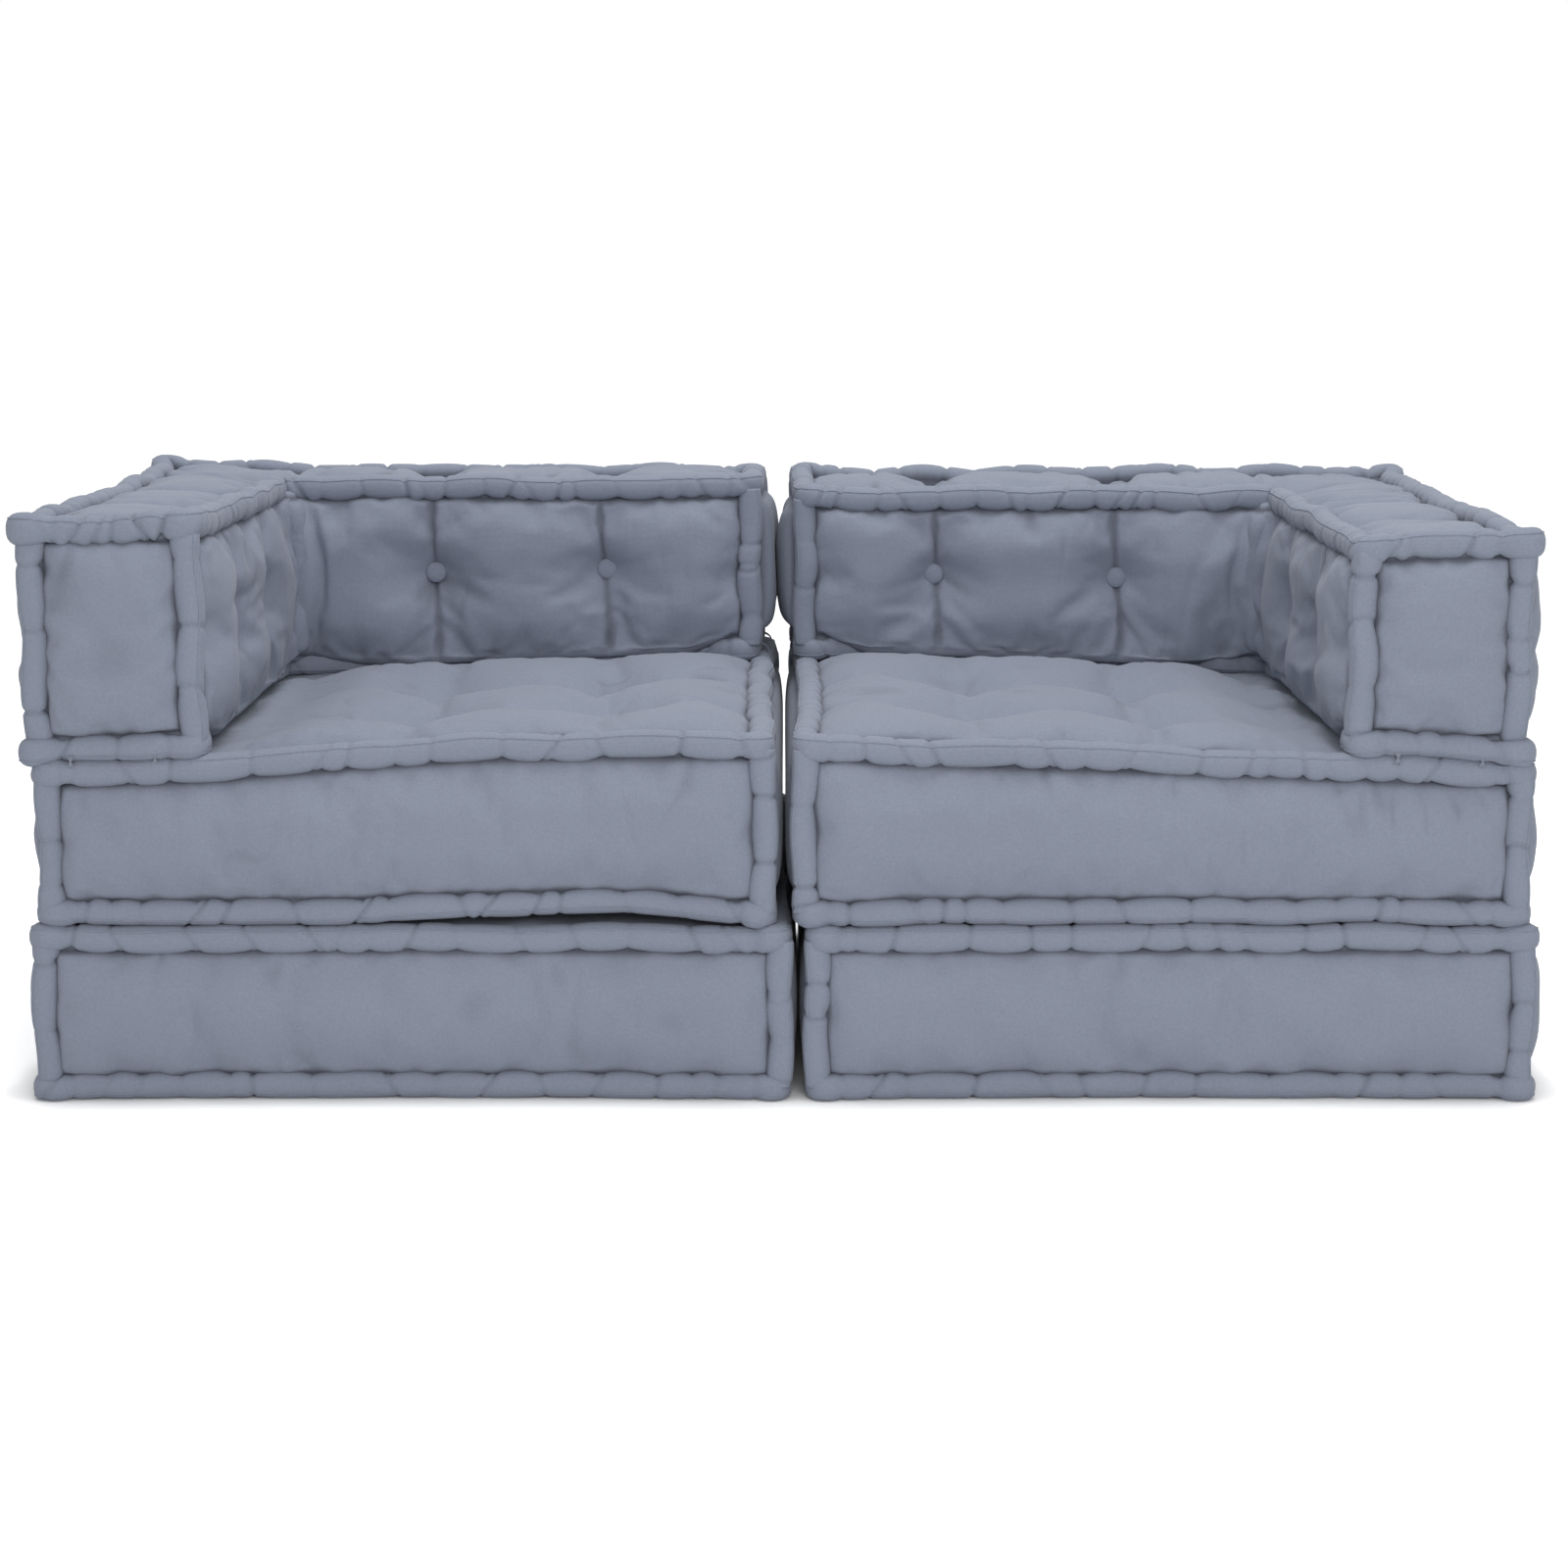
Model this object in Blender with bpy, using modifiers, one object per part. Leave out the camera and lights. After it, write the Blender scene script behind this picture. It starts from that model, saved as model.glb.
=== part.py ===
"""A corner sofa of two free-standing modules, each a stack of hand-made, tufted floor mattresses.

A module has a base mattress on the floor, a seat mattress lying on it, and an L-shaped mattress that makes
the arm and the back and is stitched to the seat. In every mattress a padded cover holds a foam core, a
bottom panel closes the cover, and a stuffed roll runs along each edge.

Sizes are in metres. u runs outwards from the sofa's middle plane, y from the front to the rear and z up, so
the left module is the right one mirrored.
"""

import math

import bmesh
import bpy
from mathutils import Matrix, Vector

SIDES = {"left": -1, "right": 1}

# Outer sizes of the mattresses, measured over their rolls
SEAT_START = 0.0045  # from the middle plane to a seat's inner side
SEAT_WIDTH = 0.694
SEAT_DEPTH = 0.696
SEAT_HEIGHT_OPEN = 0.182  # at the end with no arm
SEAT_HEIGHT_ARM = 0.155  # at the outer side, which the arm presses down
BASE_OVERHANG = 0.0095  # how far a base stands out under the seat's outer side
BASE_OUTER = SEAT_START + SEAT_WIDTH + BASE_OVERHANG  # from the middle plane to a base's outer side
BASE_SPLIT = 0.0135  # the bases meet this far right of the middle plane
BASE_GAP = 0.006
BASE_DEPTH = SEAT_DEPTH + 0.009
BASE_HEIGHT = 0.167
BACK_START = {"left": 0.018, "right": 0.004}  # from the middle plane to the back's free end
BACK_WIDTH = SEAT_WIDTH - 0.006
BACK_DEPTH = SEAT_DEPTH
SOFA_HEIGHT = 0.544  # from the floor to the top of the left back, which stands a little higher
RIGHT_SINK = 0.012
BACK_TOP = {"left": SOFA_HEIGHT, "right": SOFA_HEIGHT - RIGHT_SINK}
BACK_THICKNESS = 0.175
ARM_THICKNESS = 0.168

# Rolled edges
ROLL_RADIUS = 0.0135
ROLL_TURN = 0.022  # the radius of a roll's turn at a corner, more than the roll's own
ROLL_STITCH = 0.32  # between the deep stitches that pinch a roll
ROLL_PINCH = 0.16  # the share of its radius that a roll loses at a stitch
POST_SHARE = 0.92  # the radius of a corner's upright roll, as a share of the others
ROLL_FLAT = 0.002  # how much of the lowest rolls is pressed flat on the floor

# Stuffed forms
DRAW_IN = 0.007  # how far the sides pull in between the corners
SIDE_CROWN = 0.010  # how far the panels stand out beyond the rolls
SEAT_CROWN = 0.016
BACK_TOP_CROWN = 0.004
SIDE_REACH = 0.065  # the distance from an edge over which a crown rises
SEAT_REACH = 0.11
SEAT_MARGIN = 0.004  # the strip of seat along the back and the arm that stays pressed down
TUFT_DEPTH = 0.028
TUFT_REACH = 0.055
SEAT_CELL = 0.09  # the longest grid cell of a stuffed panel
BACK_CELL = 0.095
BASE_CELL = 0.18
ROWS = 4  # grid rows up a side panel, an even number, so that one line runs at half height

# Tufts
SEAT_TUFT_PITCH = 0.175
SEAT_TUFT_START = 0.17
ARM_TUFTS = (0.175, 0.345)  # from the arm's front
BACK_TUFTS = {"left": (0.189, 0.377), "right": (0.159, 0.360)}  # from the middle plane

# Covers, panels and cores
SIDE_PADDING = 0.037  # from the outer side of the rolls to the core
TOP_PADDING = 0.041
CORE_ROUNDING = 0.012

# Buttons, twine and stitches
BUTTON_RADIUS = 0.011
BUTTON_RIM = 0.003
BUTTON_DOME = 0.004
TWINE_RADIUS = 0.0015
STITCH_DEPTH = 0.008  # how far a stitch runs into a roll
STITCH_STANDOFF = 0.002  # how far its thread lies outside the rolls
STITCH_INSET = 0.045  # from a corner of the arm or the back to its stitch

CLEARANCE = 0.0003
TURN_STEPS = 10
ROLL_SIDES = 8
COTTON = (0.24, 0.27, 0.345)
FOAM = (0.86, 0.84, 0.78)
TWINE = (0.55, 0.55, 0.55)


class Mattress:
    """The box of one mattress, or its L, with its lower and upper faces as heights along u."""

    def __init__(self, name, side, u, y, bottom, top, notch=None, reference=None):
        self.name = name
        self.side = side
        self.u = u
        self.y = y
        self.bottom = bottom
        self.top = top
        self.notch = notch  # the inner corner of an L, which has no material nearer the middle and the front
        self.reference = reference or self
        self.tufts = []

    def inset(self, sides, below, above):
        """The same mattress with its sides, underside and top moved inwards."""
        notch = self.notch and tuple(value + sides for value in self.notch)
        return Mattress(
            self.name,
            self.side,
            (self.u[0] + sides, self.u[1] - sides),
            (self.y[0] + sides, self.y[1] - sides),
            lambda u: self.bottom(u) + below,
            lambda u: self.top(u) - above,
            notch,
            self.reference,
        )

    def corners(self):
        """The outline's corners in order, seen from above with u to the right."""
        (u0, u1), (y0, y1) = self.u, self.y
        if self.notch is None:
            return [(u0, y0), (u1, y0), (u1, y1), (u0, y1)]
        nu, ny = self.notch
        return [(u0, ny), (nu, ny), (nu, y0), (u1, y0), (u1, y1), (u0, y1)]

    def in_notch(self, u, y):
        return self.notch is not None and u < self.notch[0] and y < self.notch[1]

    def plan_depth(self, u, y):
        """The distance from a point of the plan to the outline."""
        depth = min(u - self.u[0], self.u[1] - u, y - self.y[0], self.y[1] - y)
        if self.notch is None:
            return depth
        return min(depth, math.hypot(max(u - self.notch[0], 0), max(y - self.notch[1], 0)))

    def turns(self):
        """Each corner with the three points of the round turn that a roll makes there."""
        corners = self.corners()
        found = []
        for k, corner in enumerate(corners):
            here = Vector(corner)
            back = (Vector(corners[k - 1]) - here).normalized()
            ahead = (Vector(corners[(k + 1) % len(corners)]) - here).normalized()
            middle = here + (back + ahead) * ROLL_TURN - (back + ahead).normalized() * ROLL_TURN
            found.append((corner, (here + back * ROLL_TURN, middle, here + ahead * ROLL_TURN)))
        return found

    def corner_distance(self, u, y):
        return min(math.hypot(u - cu, y - cy) for cu, cy in self.corners())

    def place(self, u, y, z):
        """A point in the sofa's frame, with the sides drawn in between the corners."""
        (u0, u1), (y0, y1) = self.reference.u, self.reference.y
        half_u, half_y = (u1 - u0) / 2, (y1 - y0) / 2
        across, along = (u - u0) / half_u - 1, (y - y0) / half_y - 1
        pulled_u = u - across * DRAW_IN * (1 - along**2)
        pulled_y = y - along * DRAW_IN * (1 - across**2)
        return Vector((self.side * pulled_u, pulled_y, z))


# The three mattresses of a module


def base_mattress(label, side):
    start = side * BASE_SPLIT + BASE_GAP / 2
    return Mattress(
        f"{label}_base",
        side,
        (start, BASE_OUTER),
        (-BASE_DEPTH / 2, BASE_DEPTH / 2),
        lambda u: -ROLL_FLAT,
        lambda u: BASE_HEIGHT,
    )


def seat_height(u):
    """The height of a seat mattress, which falls towards the arm."""
    share = (u - SEAT_START) / SEAT_WIDTH
    return SEAT_HEIGHT_OPEN + share * (SEAT_HEIGHT_ARM - SEAT_HEIGHT_OPEN)


def seat_mattress(label, side):
    lowest = BASE_HEIGHT + CLEARANCE
    seat = Mattress(
        f"{label}_seat",
        side,
        (SEAT_START, SEAT_START + SEAT_WIDTH),
        (-SEAT_DEPTH / 2, SEAT_DEPTH / 2),
        lambda u: lowest,
        lambda u: lowest + seat_height(u),
    )
    steps = (SEAT_TUFT_START, SEAT_TUFT_START + SEAT_TUFT_PITCH)
    seat.tufts = [("z", seat.u[0] + du, seat.y[0] + dy) for du in steps for dy in steps]
    return seat


def back_mattress(label, side):
    start, top = BACK_START[label], BACK_TOP[label]
    u = (start, start + BACK_WIDTH)
    y = (-BACK_DEPTH / 2, BACK_DEPTH / 2)
    lowest = BASE_HEIGHT + 2 * CLEARANCE
    notch = (u[1] - ARM_THICKNESS, y[1] - BACK_THICKNESS)
    back = Mattress(
        f"{label}_back", side, u, y, lambda u: lowest + seat_height(u), lambda u: top, notch
    )
    half_height = [(back.bottom(u) + top) / 2 for u in (*BACK_TUFTS[label], u[1] - ARM_THICKNESS / 2)]
    back.tufts = [("y", u, z) for u, z in zip(BACK_TUFTS[label], half_height)]
    back.tufts += [("u", y[0] + dy, half_height[-1]) for dy in ARM_TUFTS]
    return back


# Collections, materials and objects


def clear_scene():
    for obj in list(bpy.data.objects):
        bpy.data.objects.remove(obj)


def new_collection(name):
    made = bpy.data.collections.new(name)
    bpy.context.scene.collection.children.link(made)
    return made


def new_material(name, colour, roughness):
    made = bpy.data.materials.new(name)
    made.use_nodes = True
    shader = made.node_tree.nodes["Principled BSDF"]
    shader.inputs["Base Color"].default_value = (*colour, 1)
    shader.inputs["Roughness"].default_value = roughness
    shader.inputs["Metallic"].default_value = 0.0
    return made


def new_empty(name, location, parent=None):
    made = bpy.data.objects.new(name, None)
    PARTS.objects.link(made)
    made.parent = parent
    made.location = location
    bpy.context.view_layer.update()
    return made


def place_object(name, mesh, body, material, matrix):
    """A part with its own place in the sofa's frame, carried by its body's empty."""
    made = bpy.data.objects.new(name, mesh)
    PARTS.objects.link(made)
    made.parent = body
    made.matrix_world = matrix
    made.data.materials.clear()
    made.data.materials.append(material)
    return made


def settle_origin(obj, body):
    """Gives a mesh that was made in the sofa's frame an origin on its body's axis."""
    obj.data.transform(Matrix.Translation(-body.matrix_world.translation))
    obj.parent = body


def hide_cutter(obj):
    obj.hide_render = True
    obj.display_type = "WIRE"


def add_boolean(obj, cutter, operation="DIFFERENCE"):
    modifier = obj.modifiers.new(operation.title(), "BOOLEAN")
    modifier.operation = operation
    modifier.object = cutter
    return modifier


def apply_modifiers(obj):
    """Bakes an object's modifiers into its mesh."""
    bpy.context.view_layer.update()
    graph = bpy.context.evaluated_depsgraph_get()
    mesh = bpy.data.meshes.new_from_object(obj.evaluated_get(graph))
    obj.modifiers.clear()
    obj.data = mesh


def object_of(bm, name, collection):
    """A mesh object of flat triangles, which keep the cuts exact."""
    bmesh.ops.triangulate(bm, faces=bm.faces[:])
    mesh = bpy.data.meshes.new(name)
    bm.to_mesh(mesh)
    bm.free()
    made = bpy.data.objects.new(name, mesh)
    collection.objects.link(made)
    return made


# Stuffed blocks


def grid_lines(stops, longest):
    """Lines through all the stops, no further apart than the longest cell."""
    lines = [stops[0]]
    for start, stop in zip(stops, stops[1:]):
        cells = max(1, math.ceil((stop - start) / longest - 1e-6))
        lines += [start + (stop - start) * k / cells for k in range(1, cells + 1)]
    return lines


def block_mesh(mattress, stops_u, stops_y, longest=1.0, rows=1, bulge=None, gap=0.0):
    """A closed block on the mattress's outline: a grid with its notch cut out, drawn up and bulged.

    A gap makes the block larger by that much on every side.
    """
    lines_u, lines_y = grid_lines(stops_u, longest), grid_lines(stops_y, longest)
    cells_u, cells_y = len(lines_u) - 1, len(lines_y) - 1
    bm = bmesh.new()
    bmesh.ops.create_grid(bm, x_segments=cells_u, y_segments=cells_y, size=0.5)
    for vert in bm.verts:
        vert.co.x = lines_u[round((vert.co.x + 0.5) * cells_u)]
        vert.co.y = lines_y[round((vert.co.y + 0.5) * cells_y)]
    notched = [face for face in bm.faces if mattress.in_notch(*face.calc_center_median().xy)]
    bmesh.ops.delete(bm, geom=notched, context="FACES")
    raised = bmesh.ops.extrude_face_region(bm, geom=bm.faces[:])["geom"]
    for vert in (item for item in raised if isinstance(item, bmesh.types.BMVert)):
        vert.co.z = 1.0
    uprights = [edge for edge in bm.edges if abs(edge.verts[0].co.z - edge.verts[1].co.z) > 0.5]
    bmesh.ops.subdivide_edges(bm, edges=uprights, cuts=rows - 1, use_grid_fill=True)
    bmesh.ops.recalc_face_normals(bm, faces=bm.faces[:])
    turns = mattress.turns() if bulge is not None else []
    moved = {}
    for vert in bm.verts:
        u, y, share = vert.co
        for corner, turn in turns:
            if math.dist(corner, (u, y)) < CLEARANCE:
                u, y = turn[1]
        z = mattress.bottom(u) + share * (mattress.top(u) - mattress.bottom(u))
        facings = []
        for face in vert.link_faces:
            if all(face.normal.dot(other) < 0.9 for other in facings):
                facings.append(face.normal.copy())
        out = gap
        if bulge is not None and len(facings) == 1:
            out += bulge(u, y, z, facings[0])
        shift = sum(facings, Vector((0, 0, 0))) * out
        moved[vert] = mattress.place(u + shift.x, y + shift.y, z + shift.z)
    for vert, point in moved.items():
        vert.co = point
    bmesh.ops.recalc_face_normals(bm, faces=bm.faces[:])
    return bm


def crown(depth, height, reach):
    """A crown that is 0 at an edge and reaches its full height at the given distance from it."""
    return height * (1 - (1 - min(max(depth, 0) / reach, 1)) ** 2)


def dimple(block, u, y, z, normal):
    """How far the tufts pull a panel in at a point of it."""
    total = 0.0
    for axis, first, second in block.reference.tufts:
        across = {"z": (u, y), "y": (u, z), "u": (y, z)}[axis]
        facing = {"z": normal.z, "y": abs(normal.y), "u": abs(normal.x)}[axis]
        if facing > 0.5:
            away = math.hypot(across[0] - first, across[1] - second)
            total += TUFT_DEPTH * math.exp(-((away / TUFT_REACH) ** 2))
    return total


def side_crown(block, u, y, z, normal):
    """The crown of a side panel; the side towards the other module is pressed level with its rolls."""
    depth = min(z - block.bottom(u), block.top(u) - z, block.corner_distance(u, y))
    facing_middle = normal.x < -0.5 and abs(u - block.u[0]) < CLEARANCE
    height = ROLL_RADIUS - CLEARANCE if facing_middle else ROLL_RADIUS + SIDE_CROWN
    return crown(depth, height, SIDE_REACH)


def pressed_crown(block, u, y):
    """A panel that another mattress lies on is level with its rolls."""
    return crown(block.plan_depth(u, y), ROLL_RADIUS, SIDE_REACH)


def base_bulge(block):
    def bulge(u, y, z, normal):
        if abs(normal.z) < 0.5:
            return side_crown(block, u, y, z, normal)
        return pressed_crown(block, u, y) if normal.z > 0 else 0.0

    return bulge


def seat_bulge(block, back):
    """The seat crowns where it is free, in front of the back and beside the arm."""

    def bulge(u, y, z, normal):
        if abs(normal.z) < 0.5:
            return side_crown(block, u, y, z, normal)
        if normal.z < 0:
            return 0.0
        inner = min(back.notch[0] - u, back.notch[1] - y) - SEAT_MARGIN
        share = crown(min(u - block.u[0], y - block.y[0], inner), 1.0, SEAT_REACH)
        return pressed_crown(block, u, y) + share * (SEAT_CROWN - dimple(block, u, y, z, normal))

    return bulge


def back_bulge(block):
    def bulge(u, y, z, normal):
        if abs(normal.z) < 0.5:
            return side_crown(block, u, y, z, normal) - dimple(block, u, y, z, normal)
        if normal.z < 0:
            return 0.0
        return crown(block.plan_depth(u, y), ROLL_RADIUS + BACK_TOP_CROWN, SIDE_REACH)

    return bulge


def outline_stops(block):
    """The lines of the outline, which every block's grid has."""
    notch_u, notch_y = ((value,) for value in block.notch) if block.notch else ((), ())
    return sorted({*block.u, *notch_u}), sorted({*block.y, *notch_y})


def panel_stops(block, extra_u=(), extra_y=()):
    """The lines of a stuffed block's grid: the outline, the tufts and any more that are given."""
    stops_u, stops_y = outline_stops(block)
    for axis, first, second in block.reference.tufts:
        stops_u += [first] if axis in "zy" else []
        stops_y += {"z": [second], "y": [], "u": [first]}[axis]
    return sorted({*stops_u, *extra_u}), sorted({*stops_y, *extra_y})


def edge_block(mattress):
    """The block whose edges run along the middle of the rolls."""
    return mattress.inset(ROLL_RADIUS, ROLL_RADIUS, ROLL_RADIUS)


def inner_block(mattress, gap, floor):
    """The space of the core, less a gap at its sides and top, from a height above the lowest rolls."""
    return mattress.inset(SIDE_PADDING + gap, floor, TOP_PADDING + gap)


def panel_block(mattress):
    """The bottom panel, which fills the underside between the rolls and meets the cover's rim."""
    panel = mattress.inset(2 * ROLL_RADIUS + DRAW_IN + CLEARANCE, 0.0, 0.0)
    panel.bottom = lambda u: max(mattress.bottom(u), 0.0)
    panel.top = lambda u: mattress.bottom(u) + ROLL_RADIUS - CLEARANCE
    return panel


# Rolled edges


def roll_points(mattress):
    """(u, y, share of the radius) along the closed line of a roll, pinched at its stitches."""
    turns = [turn for _, turn in mattress.inset(ROLL_RADIUS, 0, 0).turns()]
    points = []
    for turn, following in zip(turns, turns[1:] + turns[:1]):
        points += [(point, 1.0) for point in turn]
        start, stop = turn[-1], following[0]
        stitches = max(1, round((stop - start).length / ROLL_STITCH))
        steps = 2 * stitches
        for k in range(1, steps):
            share = 1.0 - ROLL_PINCH if k % 2 else 1.0
            points.append((start.lerp(stop, k / steps), share))
    return [(point.x, point.y, share) for point, share in points]


def tube(name, points, radius, sides, cyclic, shares=None):
    """A closed tube along points of the sofa's frame, as a mesh object."""
    curve = bpy.data.curves.new(name, "CURVE")
    curve.dimensions = "3D"
    curve.bevel_depth = radius
    curve.bevel_resolution = (sides - 4) // 2
    curve.use_fill_caps = True
    spline = curve.splines.new("POLY")
    spline.points.add(len(points) - 1)
    spline.use_cyclic_u = cyclic
    for k, point in enumerate(points):
        spline.points[k].co = (*point, 1)
        spline.points[k].radius = shares[k] if shares else 1.0
    holder = bpy.data.objects.new(name, curve)
    HELPERS.objects.link(holder)
    bpy.context.view_layer.update()
    graph = bpy.context.evaluated_depsgraph_get()
    mesh = bpy.data.meshes.new_from_object(holder.evaluated_get(graph))
    bpy.data.objects.remove(holder)
    bm = bmesh.new()
    bm.from_mesh(mesh)
    bmesh.ops.remove_doubles(bm, verts=bm.verts[:], dist=1e-5)
    bmesh.ops.recalc_face_normals(bm, faces=bm.faces[:])
    return object_of(bm, name, HELPERS)


def roll_cage(mattress, name):
    """The rolls of a mattress: one round its top, one round its underside and one up each outer corner."""
    points = roll_points(mattress)
    shares = [share for _, _, share in points]
    levels = (lambda u: mattress.bottom(u) + ROLL_RADIUS, lambda u: mattress.top(u) - ROLL_RADIUS)
    loops = [
        tube(name, [mattress.place(u, y, level(u)) for u, y, _ in points], ROLL_RADIUS, ROLL_SIDES, True, shares)
        for level in levels
    ]
    line = mattress.inset(ROLL_RADIUS, 0, 0)
    posts = []
    for corner, (_, (u, y), _) in line.turns():
        if corner == line.notch:
            continue
        ends = [mattress.place(u, y, level(u)) for level in levels]
        posts.append(tube(name, ends, POST_SHARE * ROLL_RADIUS, ROLL_SIDES, False))
    cage = loops[0]
    for other in loops[1:] + posts:
        add_boolean(cage, other, "UNION")
    apply_modifiers(cage)
    for other in loops[1:] + posts:
        bpy.data.objects.remove(other)
    return cage


def slab(name, low, high):
    """A plain box between two corners, for cutting."""
    bm = bmesh.new()
    bmesh.ops.create_cube(bm, size=1.0)
    size = Vector(high) - Vector(low)
    bmesh.ops.scale(bm, vec=size, verts=bm.verts[:])
    bmesh.ops.translate(bm, vec=(Vector(high) + Vector(low)) / 2, verts=bm.verts[:])
    made = object_of(bm, name, CUTTERS)
    hide_cutter(made)
    return made


def floor_cutter():
    """What lies under the floor, which presses the lowest rolls flat."""
    reach = 2 * (BASE_OUTER + BASE_DEPTH)
    return slab("floor_cutter", (-reach, -reach, -reach), (reach, reach, 0.0))


# Buttons and twine


def turned(name, profile, collection):
    """A turned piece about +Z; its profile runs down the outer side from top to bottom."""
    bm = bmesh.new()
    verts = [bm.verts.new((radius, 0, height)) for radius, height in profile]
    for first, second in zip(verts, verts[1:]):
        bm.edges.new((first, second))
    made = object_of(bm, name, collection)
    screw = made.modifiers.new("Turn", "SCREW")
    screw.steps = TURN_STEPS
    screw.render_steps = TURN_STEPS
    screw.use_merge_vertices = True
    screw.merge_threshold = 0.00005
    apply_modifiers(made)
    made.data.shade_smooth()
    made.data.set_sharp_from_angle(angle=math.radians(40))
    return made


def button_mesh():
    """A cloth-covered button with a low dome, its back on z = 0."""
    steps = 2
    turns = [math.pi / 2 * k / steps for k in range(1, steps + 1)]
    dome = [(BUTTON_RADIUS * math.sin(a), BUTTON_RIM + BUTTON_DOME * math.cos(a)) for a in turns]
    profile = [(0, BUTTON_RIM + BUTTON_DOME), *dome, (0.8 * BUTTON_RADIUS, 0), (0, 0)]
    made = turned("button", profile, HELPERS)
    mesh = made.data
    bpy.data.objects.remove(made)
    return mesh


def tuft_frame(mattress, tuft):
    """(middle of the tuft, direction to its front, half the distance between its button seats)."""
    axis, first, second = tuft
    if axis == "y":
        ends = [mattress.place(first, y, second) for y in (mattress.notch[1], mattress.y[1])]
    else:
        ends = [mattress.place(u, first, second) for u in (mattress.notch[0], mattress.u[1])]
    front, rear = ends
    reach = (front - rear).length / 2 - TUFT_DEPTH + SIDE_CROWN
    return (front + rear) / 2, (front - rear).normalized(), reach


def facing_matrix(point, direction):
    return Matrix.Translation(point) @ direction.to_track_quat("Z", "Y").to_matrix().to_4x4()


def button_seat_cutter(mattress, tuft, name):
    """A spool: the twine's hole through the mattress, and the round seat of a button at both ends."""
    middle, facing, reach = tuft_frame(mattress, tuft)
    hole, seat = TWINE_RADIUS + CLEARANCE, BUTTON_RADIUS + CLEARANCE
    end = reach + TUFT_DEPTH + SIDE_CROWN + BUTTON_RADIUS
    profile = [(0, end), (seat, end), (seat, reach), (hole, reach)]
    profile += [(hole, -reach), (seat, -reach), (seat, -end), (0, -end)]
    made = turned(name, profile, CUTTERS)
    made.matrix_world = facing_matrix(middle, facing)
    hide_cutter(made)
    return made


def add_buttons(mattress, body, materials):
    """A button at both ends of each tuft of the back, and the twine that draws them together."""
    shared = button_mesh()
    for number, tuft in enumerate(mattress.tufts, start=1):
        middle, facing, reach = tuft_frame(mattress, tuft)
        for where, direction in (("front", facing), ("rear", -facing)):
            matrix = facing_matrix(middle + direction * (reach + CLEARANCE), direction)
            name = f"{mattress.name}_{where}_button_{number}"
            place_object(name, shared, body, materials["button"], matrix)
        length = 2 * reach - CLEARANCE
        bm = bmesh.new()
        bmesh.ops.create_cone(
            bm, cap_ends=True, segments=8, radius1=TWINE_RADIUS, radius2=TWINE_RADIUS, depth=length
        )
        name = f"{mattress.name}_tuft_twine_{number}"
        holder = object_of(bm, name, HELPERS)
        mesh = holder.data
        bpy.data.objects.remove(holder)
        place_object(name, mesh, body, materials["twine"], facing_matrix(middle, facing))


# Stitches between the back and the seat


def stitch_places(back):
    """(name, u, y, outward direction in the plan) of each stitch, near the free corners of the L."""
    (u0, u1), (y0, y1) = back.u, back.y
    nu, ny = back.notch
    return [
        ("arm_outer_stitch", u1 - STITCH_INSET, y0, (0, -1)),
        ("arm_inner_stitch", nu + STITCH_INSET, y0, (0, -1)),
        ("back_front_stitch", u0, ny + STITCH_INSET, (-1, 0)),
        ("back_rear_stitch", u0, y1 - STITCH_INSET, (-1, 0)),
    ]


def stitch_points(seat, back, u, y, outward):
    """A staple of twine: into the back's lowest roll, down past both rolls and into the seat's top roll."""
    direction = Vector((outward[0], outward[1]))
    ends = []
    for mattress, height in ((back, ROLL_RADIUS), (seat, -ROLL_RADIUS)):
        edge_u, edge_y = (mattress.u[0], y) if outward[0] else (u, mattress.y[0])
        level = back.bottom(edge_u) if mattress is back else seat.top(edge_u)
        ends.append((Vector((edge_u, edge_y)), level + height))
    points = []
    for (edge, z), outer_first in zip(ends, (False, True)):
        inside = edge - direction * STITCH_DEPTH
        outside = edge + direction * STITCH_STANDOFF
        pair = [(inside, z), (outside, z)]
        points += pair[::-1] if outer_first else pair
    return [back.place(point.x, point.y, z) for point, z in points]


# Assembly


def plain_block(form, name, collection, rounding=0.0):
    """A block with flat sides, and with its outer edges taken off if a rounding is given."""
    bm = block_mesh(form, *outline_stops(form))
    if rounding:
        edges = [edge for edge in bm.edges if edge.calc_face_angle_signed() > math.radians(60)]
        bmesh.ops.bevel(bm, geom=edges, offset=rounding, segments=1, affect="EDGES")
    return object_of(bm, name, collection)


def cut_all(obj, cutters):
    for cutter in cutters:
        hide_cutter(cutter)
        add_boolean(obj, cutter)


def add_mattress(mattress, stops, cell, bulge, materials):
    """The cover, bottom panel, core and edge roll of one mattress."""
    name = mattress.name
    block = edge_block(mattress)
    cover = object_of(block_mesh(block, *stops, cell, ROWS, bulge), f"{name}_cover", PARTS)
    core = plain_block(inner_block(mattress, CLEARANCE, ROLL_RADIUS), f"{name}_core", PARTS, CORE_ROUNDING)
    panel = plain_block(panel_block(mattress), f"{name}_bottom_panel", PARTS)
    roll = roll_cage(mattress, f"{name}_edge_roll")
    move_to(roll, PARTS)
    grown = block_mesh(block, *stops, cell, ROWS, bulge, CLEARANCE)
    cut_all(roll, [object_of(grown, f"{name}_roll_cutter", CUTTERS)])
    cavity = inner_block(mattress, 0.0, -ROLL_RADIUS)
    cut_all(cover, [plain_block(cavity, f"{name}_cavity_cutter", CUTTERS)])
    for number, tuft in enumerate(mattress.tufts, start=1):
        if tuft[0] != "z":
            spool = button_seat_cutter(mattress, tuft, f"{name}_tuft_cutter_{number}")
            cut_all(core, [spool])
            cut_all(cover, [spool])
    for obj, look in ((cover, "cotton"), (panel, "cotton"), (core, "foam"), (roll, "cotton")):
        obj.data.materials.append(materials[look])
    return cover, panel, core, roll


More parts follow.
